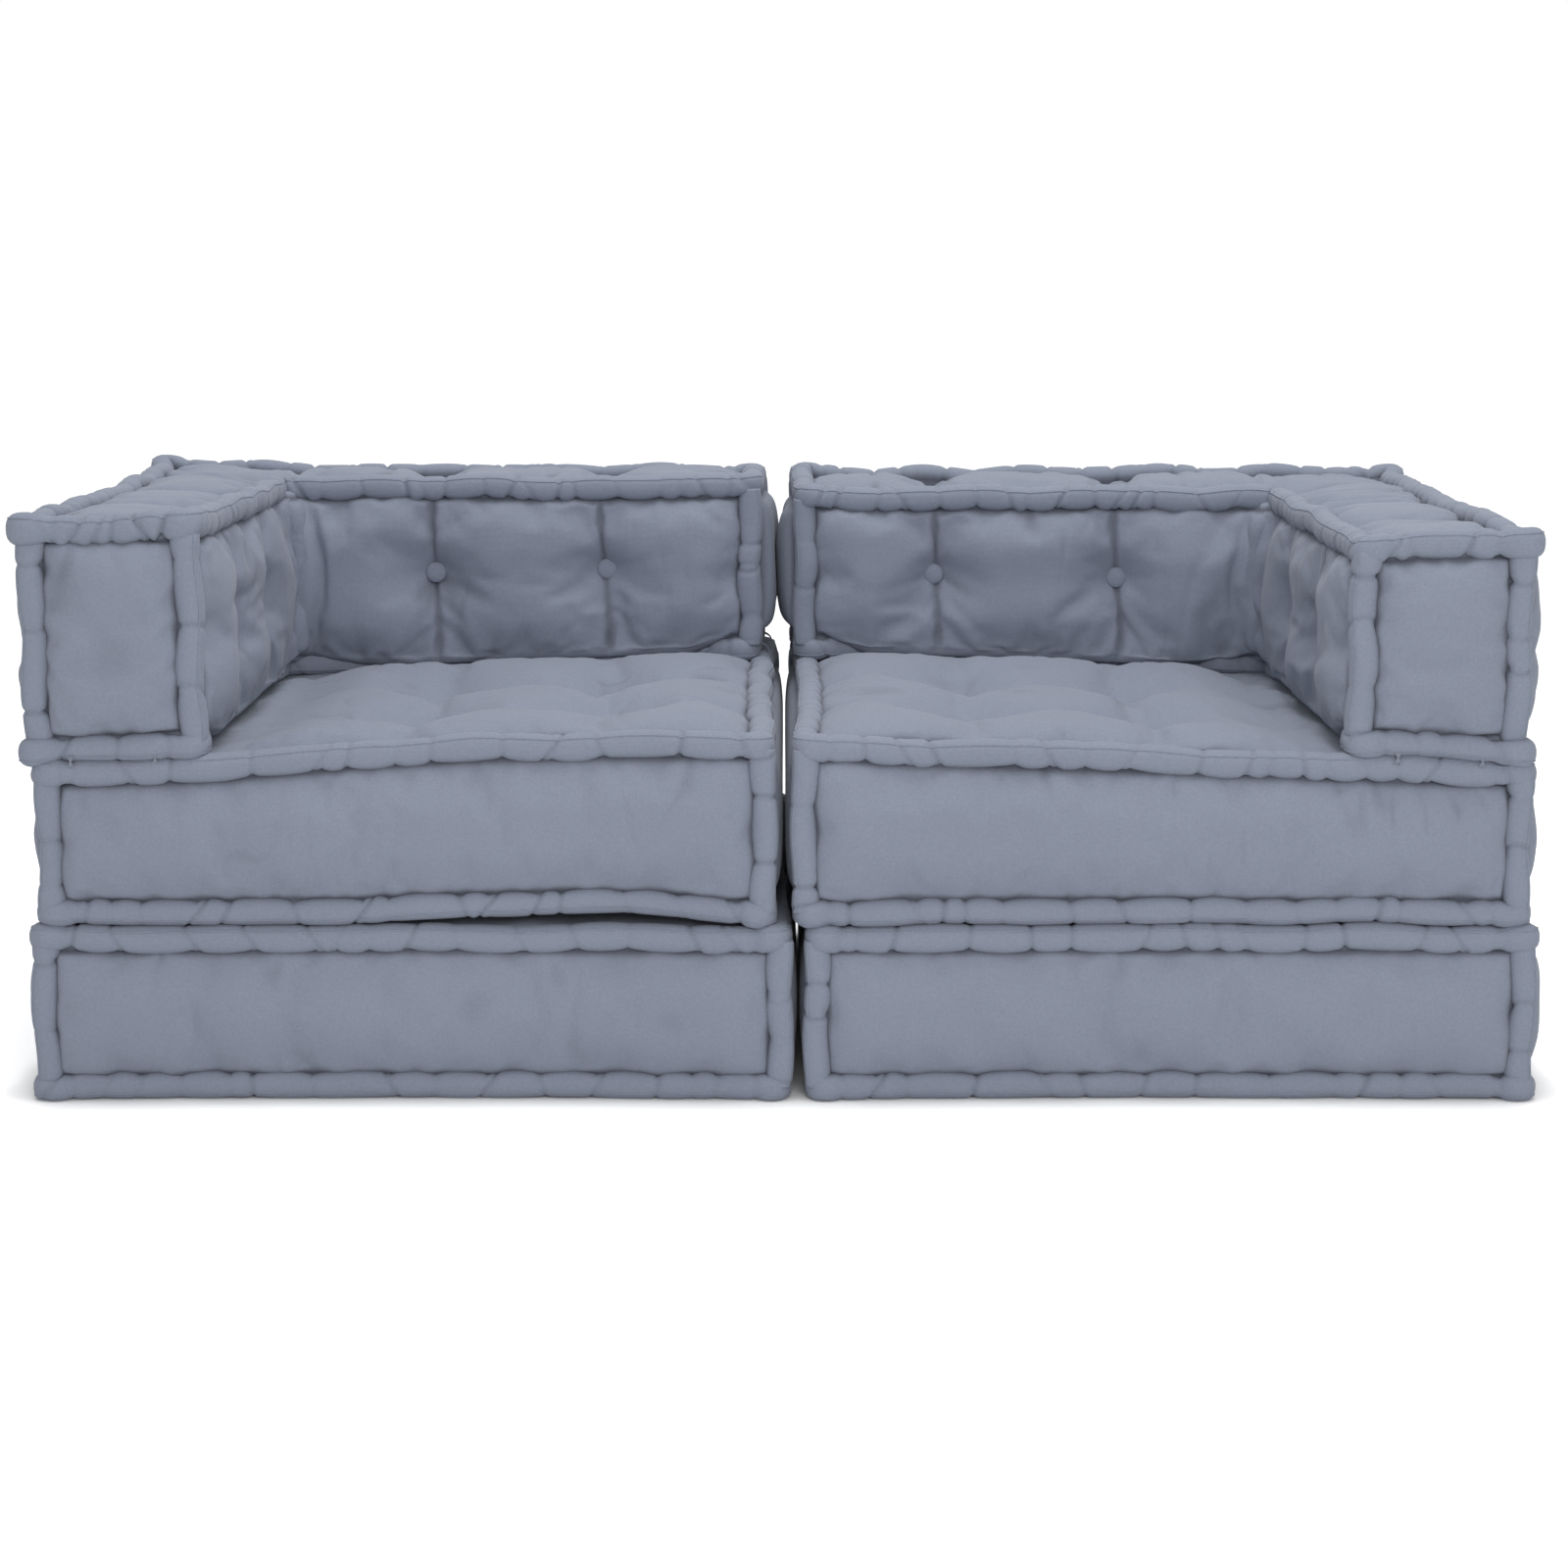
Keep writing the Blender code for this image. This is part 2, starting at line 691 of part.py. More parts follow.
def move_to(obj, collection):
    for holder in list(obj.users_collection):
        holder.objects.unlink(obj)
    collection.objects.link(obj)


def add_stitches(seat, back, seat_roll, back_roll, body, materials):
    for name, u, y, outward in stitch_places(back):
        points = stitch_points(seat, back, u, y, outward)
        full_name = f"{back.name.split('_')[0]}_{name}"
        stitch = tube(full_name, points, TWINE_RADIUS, 6, False)
        move_to(stitch, PARTS)
        stitch.data.materials.append(materials["twine"])
        hole = tube(f"{full_name}_cutter", points, TWINE_RADIUS + CLEARANCE, 6, False)
        move_to(hole, CUTTERS)
        hide_cutter(hole)
        add_boolean(seat_roll, hole)
        add_boolean(back_roll, hole)
        settle_origin(stitch, body)


def add_module(label, side, parent, materials):
    """One module: its base carries the unit of the seat and the back, which lifts straight up off it."""
    base, seat, back = base_mattress(label, side), seat_mattress(label, side), back_mattress(label, side)
    middle = side * (BASE_OUTER + base.u[0]) / 2
    base_body = new_empty(f"{label}_module", (middle, 0, 0), parent)
    if parent is not None:
        base_body.location.x -= parent.matrix_world.translation.x
    seat_body = new_empty(f"{label}_seat_unit", (0, 0, BASE_HEIGHT), base_body)
    bpy.context.view_layer.update()
    base_block, seat_block, back_block = edge_block(base), edge_block(seat), edge_block(back)
    pressed = ([value - SEAT_MARGIN] for value in back.notch)
    base_parts = add_mattress(base, panel_stops(base_block), BASE_CELL, base_bulge(base_block), materials)
    seat_stops = panel_stops(seat_block, *pressed)
    seat_parts = add_mattress(seat, seat_stops, SEAT_CELL, seat_bulge(seat_block, back), materials)
    back_parts = add_mattress(back, panel_stops(back_block), BACK_CELL, back_bulge(back_block), materials)
    add_boolean(base_parts[3], FLOOR)
    add_stitches(seat, back, seat_parts[3], back_parts[3], seat_body, materials)
    add_buttons(back, seat_body, materials)
    for obj in base_parts:
        settle_origin(obj, base_body)
    for obj in (*seat_parts, *back_parts):
        settle_origin(obj, seat_body)
    return base_body


clear_scene()
PARTS = new_collection("corner_sofa")
CUTTERS = new_collection("cutters")
HELPERS = new_collection("helpers")
FLOOR = floor_cutter()
MATERIALS = {
    "cotton": new_material("slate_cotton", COTTON, 0.9),
    "button": new_material("button_cotton", COTTON, 0.85),
    "foam": new_material("foam", FOAM, 0.95),
    "twine": new_material("twine", TWINE, 0.8),
}
left_module = add_module("left", SIDES["left"], None, MATERIALS)
add_module("right", SIDES["right"], left_module, MATERIALS)
bpy.data.collections.remove(HELPERS)
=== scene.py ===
"""Looks of the corner sofa: tufted cotton mattresses with stitched rolls, on a white studio floor.

In a mattress, u runs outwards from the sofa's middle plane, y from the front to the rear and z up, in
metres, so the left module is the right one mirrored. Panels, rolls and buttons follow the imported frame.
"""

import math

import bpy
import numpy as np
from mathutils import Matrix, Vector


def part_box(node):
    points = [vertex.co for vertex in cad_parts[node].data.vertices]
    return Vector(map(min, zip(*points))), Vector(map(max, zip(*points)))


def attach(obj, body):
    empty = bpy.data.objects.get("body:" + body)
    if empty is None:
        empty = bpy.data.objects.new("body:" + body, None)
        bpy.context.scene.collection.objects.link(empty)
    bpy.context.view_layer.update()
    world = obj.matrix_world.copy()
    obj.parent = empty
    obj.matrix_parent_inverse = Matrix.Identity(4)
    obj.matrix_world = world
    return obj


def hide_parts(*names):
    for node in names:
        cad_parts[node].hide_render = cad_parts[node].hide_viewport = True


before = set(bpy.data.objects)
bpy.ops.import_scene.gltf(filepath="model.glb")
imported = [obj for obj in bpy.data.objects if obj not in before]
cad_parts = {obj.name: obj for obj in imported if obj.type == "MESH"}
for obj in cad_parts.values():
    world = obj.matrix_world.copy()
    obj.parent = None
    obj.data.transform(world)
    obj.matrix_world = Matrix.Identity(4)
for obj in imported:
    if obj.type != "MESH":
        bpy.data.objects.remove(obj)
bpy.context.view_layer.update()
scene = bpy.context.scene

SIDES = {"left": -1, "right": 1}
KINDS = ("base", "seat", "back")
BUTTON_PAIRS, PAIRS_ON_BACK = 4, 2  # of an L, the rest of them on its arm
L_ENDS = (0, 4)  # the corners of an L beside its inner one
FAR = 1.0  # beyond the reach of every form
X_AXIS, Y_AXIS, Z_AXIS = np.eye(3)[:, None, :]

# Rolls
ROLL_RADIUS = 0.0132
ROLL_SQUARENESS = 2.5  # 2 would be round
ROLL_TURN = 0.012
ROLL_STEP = 0.0022
ROLL_SIDES = 24
ROLL_LEAST = 0.95  # the radius at a stitch, as a share of the full one
ROLL_SWELL = (0.04, 0.07)  # what is added between stitches, always and by chance
EAR = {"base": 0.006, "seat": 0.006, "back": 0.010}  # how far the rolls stick out at an outer corner
EAR_REACH = 0.018
EAR_AT_END = 0.4  # the share of it at the ends of an L
CORNER_SPREAD, CORNER_SPREAD_REACH = 0.002, 0.02  # up and down, at the corners
CORNER_PINCH, PINCH_PLACE, PINCH_WIDTH = 0.14, 0.023, 0.004  # of a roll beside a corner
TUCK = 0.014  # how far the roll under the back's inner faces is pushed in
TUCK_START = 0.4
TUCK_MARGIN = 0.004
PANEL_DROP = 0.009  # and how far the panel above comes down in front of it
STITCH_PITCH, ROPE_PITCH = 0.046, 0.034  # the rolls round the back's top are drawn up like a rope
STITCH_GAP = (0.4, 1.2)  # the least share of the pitch between stitches, and what chance adds
STITCH_PULL = 0.36  # how far a stitch draws a roll's seam in, as a share of the roll's radius
PULL_WIDTH = 0.8  # in radians round the roll
CREASE_DEPTH, ROPE_DEPTH = 0.17, 0.27  # across a roll, as a share of its radius
CREASE_WIDTH = 0.0024
CREASE_LEAN = 1.6
ROLL_SWAY, POST_SWAY, SWAY_LENGTH = 0.0016, 0.0014, 0.11
EDGE_WAVE = (0.0006, 0.0016, 0.0016, 0.0028)  # of the rolls, from the floor to the top
EDGE_WAVE_LENGTH = 0.13
SINK = {"base": 0.0, "seat": 0.0008, "back": 0.0022}  # of a lower roll onto what it lies on
CREST_RADIUS = 0.0008
CREST_SIDES = 6
CREST_TURNS = (-0.5, 0.7)  # round the lower and the upper rolls, in radians

# Mattresses
ARM_THICKNESS = 0.168
BACK_THICKNESS = 0.175
DRAW_IN = 0.007  # how far the sides pull in between the corners
PANEL_INSET = 0.0122  # from the outer side of the rolls to the panels where they meet
GRID_STEP = {"base": 0.0095, "seat": 0.0075, "back": 0.0075}
SEAM_LINES = (0.008, 0.0115, 0.014, 0.017, 0.021, 0.027)  # closer grid lines beside a seam
FOLD_LINES = (0.0, 0.0035, 0.008)
LEAST_CELL = 0.0022
FACING_UP, FACING_OUT = 0.75, 0.9  # from here a point counts as on a top or a side
LIFT = 0.012  # how far the left seat's lower front edge bows up
LIFT_START, LIFT_SPAN, LIFT_REACH, LIFT_HEIGHT = 0.02, 0.40, 0.12, 0.09
LIFT_SKEW, LIFT_POWER = 0.8, 1.2
SEAT_BOW = 0.010  # and its upper one
BOW_SPAN, BOW_REACH, BOW_HEIGHT = 0.52, 0.25, 0.12
TOP_RISE = {"left": (0.010, 0.005, 0.001), "right": (0.0, 0.009, 0.011)}  # to the L's front, side and rear
RISE_START = 0.02  # above the tufts

# Crowns beyond the rolls, before the stuffing swells them
SIDE_CROWN = 0.006
OUTER_CROWN = {"left": 0.007, "right": 0.013}
MIDDLE_GAP = {"base": 0.001, "seat": 0.001, "back": 0.0007}  # left between a bulge and the middle
MIDDLE_WAVE, MIDDLE_WAVE_LENGTH = 0.0025, 0.1  # of the line in which the backs' ends meet
MIDDLE_WAVE_LEAN = 0.3
TOP_CROWN = {"base": -0.001, "seat": 0.008, "back": -0.005}
SIDE_REACH = 0.062  # the distance from a seam over which a crown rises
TOP_REACH = {"base": 0.06, "seat": 0.1, "back": 0.06}
CORNER_REACH = 0.05
SEAM_START = 0.0112  # from a roll's middle line to where the cloth comes out beside it
SEAM_ROUND = 0.0036
SEAM_SHARE = 0.6  # of a crown, right beside the roll
PRESS_REACH, PRESS_DEPTH = 0.06, 0.001  # of the seat's top under the L
BACK_SLOPE = 0.03  # the distance from the back over which the seat rises to its full crown
ARM_SLOPE = 0.13  # and from the arm
ARM_DIP = 0.013  # how far it is drawn down beside the arm
ARM_DIP_PLACE, ARM_DIP_WIDTH, ARM_DIP_START = 0.03, 0.05, 0.1

# Tufts and folds
TUFT_REACH = 0.026
TUFT_FLAT = 0.006
BUTTON_SEAT = 0.017  # from the outer side of the rolls in to a button's back
FOLD_DEPTH, FOLD_WIDTH = 0.013, 0.004
FOLD_SHARES = (0.6, 0.4)  # of the sharp line and of the wide hollow
FOLD_SPREAD = 0.03
FOLD_START = 0.03  # the distance from a seam over which a fold deepens
FOLD_SWAY, FOLD_SWAY_REACH = 0.3, 0.04
TOP_FOLD_DEPTH, TOP_FOLD_WIDTH = 0.014, 0.006
TOP_FOLD_SHARES = (0.55, 0.45)
VALLEY_DEPTH, VALLEY_WIDTH, VALLEY_REACH = 0.006, 0.03, 0.09
SEAT_TUFT_DEPTH = 0.025
SEAT_TUFT_REACH = 0.045
SEAT_TUFT_POWER = 1.25
SEAT_TUFT_START = 0.17
SEAT_TUFT_PITCH = 0.175
SEAT_TUFT_ROWS = 4
SEAT_TUFT_CLEAR = 0.03
GROOVE_DEPTHS = (0.005, 0.004)  # of the lines through the seat's tufts, along y and along u
GROOVE_WIDTH, GROOVE_START = 0.022, 0.05
INNER_TURN = 0.022  # how far the cloth cuts the corner between the arm and the back
INNER_REACH = 0.07
INNER_FOLD = 0.028  # from that corner to the fold beside it at its ends
INNER_FOLD_BOW = 0.018
INNER_FOLD_DEPTH = {"left": 0.010, "right": 0.005}
INNER_FOLD_WIDTH = 0.006
INNER_MARGIN = 0.01

# Stuffing
SIM_FRAMES = 18
SWELL_MOST = {"base": 0.009, "seat": 0.009, "back": 0.011}
SWELL_MOST_TOP = {"base": 0.0, "seat": 0.009, "back": 0.006}
SPARE_CLOTH = {"base": 0.018, "seat": 0.022, "back": 0.050}  # as a share of the panels' size
STIFFNESS = {"tension": 15, "compression": 15, "shear": 5, "bending": 0.15}
CLOTH = {"quality": 3, "mass": 0.2, "use_pressure": True, "uniform_pressure_force": 4}
HELD_UNDER, HELD_SEAT_TUFT, HELD_TUFT, HELD_FOLD = 0.004, 0.012, 0.014, 0.002  # how far round each

# Creases: reach, pitch and depth of the gathers beside a seam, and lengths of the waves
GATHERS = (0.035, 0.03, 0.0026)
BACK_TOP_GATHERS = (0.06, 0.025, 0.0045)
POST_GATHERS = (0.03, 0.03, 0.0020)
GATHER_WIDTH, POST_GATHER_WIDTH = 0.0038, 0.0036
GATHER_START = 0.014
GATHER_TABLE = 512
SLACK_DEPTH, SLACK_WIDTH, SLACK_START = 0.0012, 0.2, 0.02
SLACK_LENGTH, SLACK_PATCH, SLACK_STRETCH = 0.055, 0.3, 0.3
WAVE_DEPTH, WAVE_LENGTH, WAVE_START = 0.0016, 0.09, 0.03
PLEATS, PLEAT_DEPTH = 7, 0.0030
PLEAT_START, PLEAT_WIDTH, PLEAT_SPREAD = 0.012, 0.003, 0.07
BACK_PLEAT_REACH, SEAT_PLEAT_REACH = 0.045, 0.06
LOOSE_DEPTH, LOOSE_LENGTH, LOOSE_START = 0.0012, 0.08, 0.05
LOOSE_ON_BASE = 2

# Buttons and thread
BUTTON_RADIUS = 0.0112
BUTTON_HEIGHT = 0.0075
BUTTON_SIDES, BUTTON_RINGS = 40, 12
BUTTON_FACE = 0.75  # the share of the rings on its domed face
BUTTON_EDGE = 0.45  # the height of its edge, as a share
BUTTON_UNDER = 0.25  # how far its rim turns under, as a share
BUTTON_PLEATS, BUTTON_PLEAT_DEPTH = 17, 0.02
BUTTON_FOLDS, BUTTON_FOLD_DEPTH = 9, 0.012
THREAD_RADIUS = 0.0008
THREAD_SIDES, THREAD_POINTS = 8, 24
THREAD_LEANS = (-0.004, -0.001, 0.002, 0.005)
LOOP_HEIGHT, LOOP_BACK = 0.6, 0.9  # as shares of a stitch's node

# Painted shade: the cotton's colour darkened in seams, creases, folds and tufts
# the share of the colour left where the painted shade is full
DARKEST_PAINTED_SHADE = 0.4
SEAM_SHADE = 0.0028
ROLL_SHADE, ROLL_SEAM_SHADE = 0.22, 0.4
CREASE_SHADE, CREASE_SHADE_FROM, CREASE_SHADE_SPAN = 0.45, 0.0015, 0.0055
FOLD_SHADE, FOLD_SHADE_WIDTH = 0.6, 0.0035
TUFT_SHADE, TUFT_SHADE_REACH = 0.5, 0.012

# Studio
FLOOR_SIZE = 30
FLOOR_LIFT = 0.5  # light added to the floor for the camera, away from what stands on it
SHADOW_REACH = 0.05
SHADOW_POWER = 3.0
WORLD_LIGHT = 0.62
LAMP_SIZE = 1.6
LAMPS = {"overhead": ((0.2, -0.1, 2.9), 37), "front": ((0.5, -3.6, 1.8), 49)}  # place and power
LAMP_AIM = Vector((0, 0, 0.3))
LENS, SENSOR = 72.8, 36
CAMERA_PLACE = (0, -3.2356, 0.8349)
CAMERA_TILT = 0.1818  # below the horizontal, in radians

# Surfaces, with colours as linear values
WHITE = (1, 1, 1, 1)
COTTON = ((0.205, 0.229, 0.288, 1), (0.232, 0.258, 0.322, 1))  # the darker and the lighter tone
THREAD = ((0.19, 0.21, 0.26, 1), (0.25, 0.275, 0.335, 1))
FOAM = ((0.74, 0.70, 0.60, 1), (0.86, 0.83, 0.74, 1))
TONE_ENDS = (0.45, 0.9)  # of the speckle, where the tones are pure
FADING = 0.35  # the share of slow changes in the speckle
DULL = {"Roughness": 0.88, "Specular IOR Level": 0.22, "Sheen Weight": 0.12, "Sheen Roughness": 0.45}
FLOOR = {"Base Color": (0.92, 0.92, 0.92, 1), "Roughness": 0.9, "Specular IOR Level": 0.0}


class Mattress:
    """One mattress of a module, read from its rolls in the frame."""

    def __init__(self, label, kind):
        self.label, self.kind, self.name = label, kind, f"{label}_{kind}"
        self.side = SIDES[label]
        self.body = f"{label}_base" if kind == "base" else f"{label}_seat"
        self.seed = 10 * KINDS.index(kind) + (1 if label == "left" else 2)
        low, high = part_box(f"{self.name}_edge_roll")
        self.u = tuple(sorted((self.side * low[0], self.side * high[0])))
        self.y = (low[1], high[1])
        self.z = (low[2], high[2])
        ends = [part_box(f"{other}_{kind}_edge_roll") for other in SIDES]
        self.apart = ends[1][0][0] - ends[0][1][0]
        self.notch = None
        if kind != "base":
            seat, back = (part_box(f"{label}_{part}_edge_roll") for part in ("seat", "back"))
            seat_u, back_u = (sorted(self.side * corner[0] for corner in box) for box in (seat, back))
            self.slope = (back[0][2] - seat[1][2]) / (seat_u[1] - seat_u[0])
            self.level = (seat_u[0], seat[1][2])
            self.inner_corner = (back_u[1] - ARM_THICKNESS, back[1][1] - BACK_THICKNESS)
        if kind == "back":
            self.notch = self.inner_corner

    def seat_level(self, u):
        return self.level[1] + self.slope * (u - self.level[0])

    def bottom(self, u):
        return self.seat_level(u) if self.kind == "back" else self.z[0] + 0 * u

    def top(self, u):
        return self.seat_level(u) if self.kind == "seat" else self.z[1] + 0 * u

    def corners(self, inset):
        """(u, y) of the outline's corners in turn, the last one of an L the inner corner."""
        (u0, u1), (y0, y1) = self.u, self.y
        u0, u1, y0, y1 = u0 + inset, u1 - inset, y0 + inset, y1 - inset
        if self.notch is None:
            return [(u0, y0), (u1, y0), (u1, y1), (u0, y1)]
        nu, ny = self.notch[0] + inset, self.notch[1] + inset
        return [(nu, y0), (u1, y0), (u1, y1), (u0, y1), (u0, ny), (nu, ny)]

    def place(self, points):
        """Points (u, y, z) in the sofa's frame, with the sides drawn in between the corners."""
        u, y, z = points.T
        across = (2 * u - self.u[0] - self.u[1]) / (self.u[1] - self.u[0])
        along = (2 * y - self.y[0] - self.y[1]) / (self.y[1] - self.y[0])
        pulled_u = u - across * DRAW_IN * (1 - along**2)
        pulled_y = y - along * DRAW_IN * (1 - across**2)
        return np.column_stack((self.side * pulled_u, pulled_y, z))

    def tufts(self):
        """(axis along the wall, place along it, height) of each tuft of the back, from its buttons."""
        found = []
        for number in range(1, BUTTON_PAIRS + 1) if self.kind == "back" else ():
            low, high = (Vector(c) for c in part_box(f"{self.name}_front_button_{number}"))
            middle = (low + high) / 2
            along_arm = number > PAIRS_ON_BACK
            place = middle.y if along_arm else self.side * middle.x
            found.append((1 if along_arm else 0, place, middle.z))
        return found


# Shared helpers


def grid_lines(stops, folds, step):
    """Grid lines through the stops, no further apart than the step and closer beside stops and folds."""
    kept = sorted(set(stops))
    low, high = kept[0], kept[-1]
    wanted = [(stop, away) for stop in kept for away in SEAM_LINES]
    wanted += [(fold, away) for fold in folds for away in FOLD_LINES]
    for middle, away in wanted:
        for line in (middle - away, middle + away):
            if low < line < high and min(abs(line - other) for other in kept) > LEAST_CELL:
                kept.append(line)
    kept.sort()
    lines = [low]
    for start, stop in zip(kept, kept[1:]):
        cells = max(1, math.ceil((stop - start) / step - 1e-6))
        lines += [start + (stop - start) * k / cells for k in range(1, cells + 1)]
    return lines


def fade_in(distance, reach):
    """From 0 at a line to 1 at the reach, evenly."""
    return np.clip(distance / reach, 0, 1)


def rise(distance, reach):
    """From 0 at a line to 1 at the reach, steep at first."""
    return 1 - (1 - fade_in(distance, reach)) ** 2


def seam_rise(distance, reach, start=SEAM_START):
    """From 0 at a roll's middle line to 1 at the reach, with most of it right beside the roll."""
    beside = 1 - np.exp(-np.clip(distance - start, 0, None) / SEAM_ROUND)
    return SEAM_SHARE * beside + (1 - SEAM_SHARE) * rise(distance, reach)


def dent(distance, reach):
    return np.exp(-((distance / reach) ** 2))


def fold_form(beside, width, shares):
    """A fold from 1 at its line to 0: a sharp line in a wide hollow."""
    return shares[0] * dent(beside, width) + shares[1] * dent(beside, FOLD_SPREAD)


def gathers(along, inward, seed, pitch, reach, width):
    """Creases that run in from a seam at uneven places, from 0 between them to about 1."""
    table = np.random.default_rng(seed).random((5, GATHER_TABLE))
    first = np.floor(along / pitch).astype(int)
    total = np.zeros_like(along)
    for k in (-1, 0, 1):
        row = (first + k) % GATHER_TABLE
        centre = (first + k + 0.5 + 0.8 * (table[0][row] - 0.5)) * pitch
        length = reach * (0.35 + 1.3 * table[1][row] ** 2)
        lean = 0.7 * (table[2][row] - 0.5)
        wide = width * (0.7 + 0.8 * table[3][row]) * (1 + 0.8 * inward / length)
        strength = 0.2 + 0.8 * table[4][row] ** 1.5
        total += strength * dent(along - centre - lean * inward, wide) * dent(inward, length)
    return total


def pleats(across, up, seed, reach):
    """Uneven pleats that run out from a tuft, from 0 between them to about 1."""
    rng = np.random.default_rng(seed)
    total = np.zeros_like(across)
    for turn, length, strength in rng.random((PLEATS, 3)) * (2 * math.pi, 1, 1):
        ahead = across * math.cos(turn) + up * math.sin(turn)
        aside = up * math.cos(turn) - across * math.sin(turn)
        outward = np.clip(ahead, 0, None)
        along = fade_in(ahead, PLEAT_START) * np.exp(-outward / (reach * (0.5 + length)))
        total += (0.3 + 0.7 * strength) * along * dent(aside, PLEAT_WIDTH + PLEAT_SPREAD * outward)
    return total


def ripple(points, length, seed, waves=6):
    """Smooth, uneven waves of about that length, from -1 to 1."""
    rng = np.random.default_rng(seed)
    total = np.zeros(len(points))
    for _ in range(waves):
        direction = rng.normal(size=points.shape[1])
        direction *= 2 * math.pi / (length * (0.7 + 0.8 * rng.random())) / np.linalg.norm(direction)
        total += np.sin(points @ direction + rng.random() * 2 * math.pi)
    return total / waves**0.5 / 1.4


def add_object(name, data):
    made = bpy.data.objects.new(name, data)
    scene.collection.objects.link(made)
    return made


def make_object(name, points, faces, material, flip=False):
    """A smooth mesh object."""
    mesh = bpy.data.meshes.new(name)
    mesh.from_pydata(points.tolist(), [], [face[::-1] for face in faces] if flip else faces)
    mesh.shade_smooth()
    mesh.materials.append(material)
    return add_object(name, mesh)


def read_points(mesh, attribute="position"):
    values = np.empty(3 * len(mesh.vertices), np.float32)
    mesh.attributes[attribute].data.foreach_get("vector", values)
    return values.reshape(-1, 3).astype(float)


def write_points(mesh, points, attribute="position"):
    if attribute not in mesh.attributes:
        mesh.attributes.new(attribute, "FLOAT_VECTOR", "POINT")
    mesh.attributes[attribute].data.foreach_set("vector", points.astype(np.float32).ravel())
    mesh.update()


def write_nooks(mesh, values):
    """Keeps each point's painted shade, from 0 to 1: how much its colour is darkened in seams and creases.
    """
    nook = mesh.attributes.new("nook", "FLOAT", "POINT")
    nook.data.foreach_set("value", np.clip(values, 0, 1).astype(np.float32))


def settle(piece, body, slot, *nodes):
    """Puts a finished piece on its body in place of its nodes."""
    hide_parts(*nodes)
    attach(piece, body)


# Panels


class Shell:
    """The grid of a mattress's panels: each point's place in plan and up the side, and what it faces."""

    def __init__(self, pad):
        corners = pad.corners(PANEL_INSET)
        step = GRID_STEP[pad.kind]
        low, high = pad.z[0] + PANEL_INSET, pad.z[1] - PANEL_INSET
        folds = [[place for axis, place, _ in pad.tufts() if axis == k] for k in (0, 1)]
        lines_u = grid_lines([u for u, _ in corners], folds[0], step)
        lines_y = grid_lines([y for _, y in corners], folds[1], step)
        heights = grid_lines([low, high], [], step)
        shares = [(z - low) / (high - low) for z in heights]
        rows = len(shares) - 1
        notch = pad.notch and tuple(n + PANEL_INSET - LEAST_CELL / 2 for n in pad.notch)

        cells = {
            (i, j)
            for i, u in enumerate(lines_u[:-1])
            for j, y in enumerate(lines_y[:-1])
            if not (notch and u < notch[0] and y < notch[1])
        }
        numbers, places, facing, faces = {}, [], [], []

        def point(i, j, k, normal):
            key = (i, j, k)
            if key not in numbers:
                numbers[key] = len(places)
                places.append((lines_u[i], lines_y[j], shares[k]))
                facing.append(set())
            facing[numbers[key]].add(normal)
            return numbers[key]

        for i, j in sorted(cells):
            ring = ((i, j), (i + 1, j), (i + 1, j + 1), (i, j + 1))
            faces.append([point(a, b, rows, (0, 0, 1)) for a, b in ring])
            faces.append([point(a, b, 0, (0, 0, -1)) for a, b in ring[::-1]])
            steps = ((0, -1), (1, 0), (0, 1), (-1, 0))
            for (a, b), (c, d), (nu, ny) in zip(ring, ring[1:] + ring[:1], steps):
                for k in range(rows) if (i + nu, j + ny) not in cells else ():
                    ends = ((a, b, k), (c, d, k), (c, d, k + 1), (a, b, k + 1))
                    faces.append([point(*end, (nu, ny, 0)) for end in ends])
        self.faces = faces
        self.plan = np.array(places)
        self.facing = np.array([np.sum(list(normals), axis=0) for normals in facing], float)
        self.seams = np.array([len(normals) > 1 for normals in facing])


class Measures:
    """Heights of points of the panels, what they face, and their distances from seams and corners."""

    def __init__(self, pad, plan, facing):
        u, y, share = plan.T
        corners = pad.corners(PANEL_INSET)
        outer = corners[:-1] if pad.notch else corners
        corner = np.min([np.hypot(u - cu, y - cy) for cu, cy in outer], axis=0)
        in_under = tucked(pad, u, y, corner) if pad.notch else 0 * u
        low = pad.bottom(u) + PANEL_INSET - PANEL_DROP * in_under
        high = pad.top(u) - PANEL_INSET
        z = low + share * (high - low)
        self.place, self.u, self.y, self.z = (u, y), u, y, z
        self.share, self.corner, self.facing = share, corner, facing
        self.top, self.under = facing[:, 2] > FACING_UP, facing[:, 2] < -FACING_UP
        self.edge, self.upper = np.minimum(z - low, high - z), share > 0.5
        self.seam_start = SEAM_START * (1 - ~self.upper * in_under)
        self.middle_side = (facing[:, 0] < -FACING_OUT) & (u < pad.u[0] + 2 * PANEL_INSET)
        self.outer_side = facing[:, 0] > FACING_OUT
        nearest, along = np.full(len(u), np.inf), np.zeros(len(u))
        for (au, ay), (bu, by) in zip(corners, corners[1:] + corners[:1]):
            length = math.hypot(bu - au, by - ay)
            du, dy = (bu - au) / length, (by - ay) / length
            at = np.clip((u - au) * du + (y - ay) * dy, 0, length)
            away = np.hypot(u - au - at * du, y - ay - at * dy)
            closer = away < nearest - 1e-7
            nearest = np.where(closer, away, nearest)
            along = np.where(closer, au * abs(du) + ay * abs(dy) + at * (du + dy), along)
        self.inward, self.along = nearest, along
        self.beside_seam = np.where(self.top, nearest, np.minimum(self.edge, corner))
        if pad.notch:
            cu, cy = corners[-1]
            self.inner_corner = np.hypot(u - cu, y - cy)


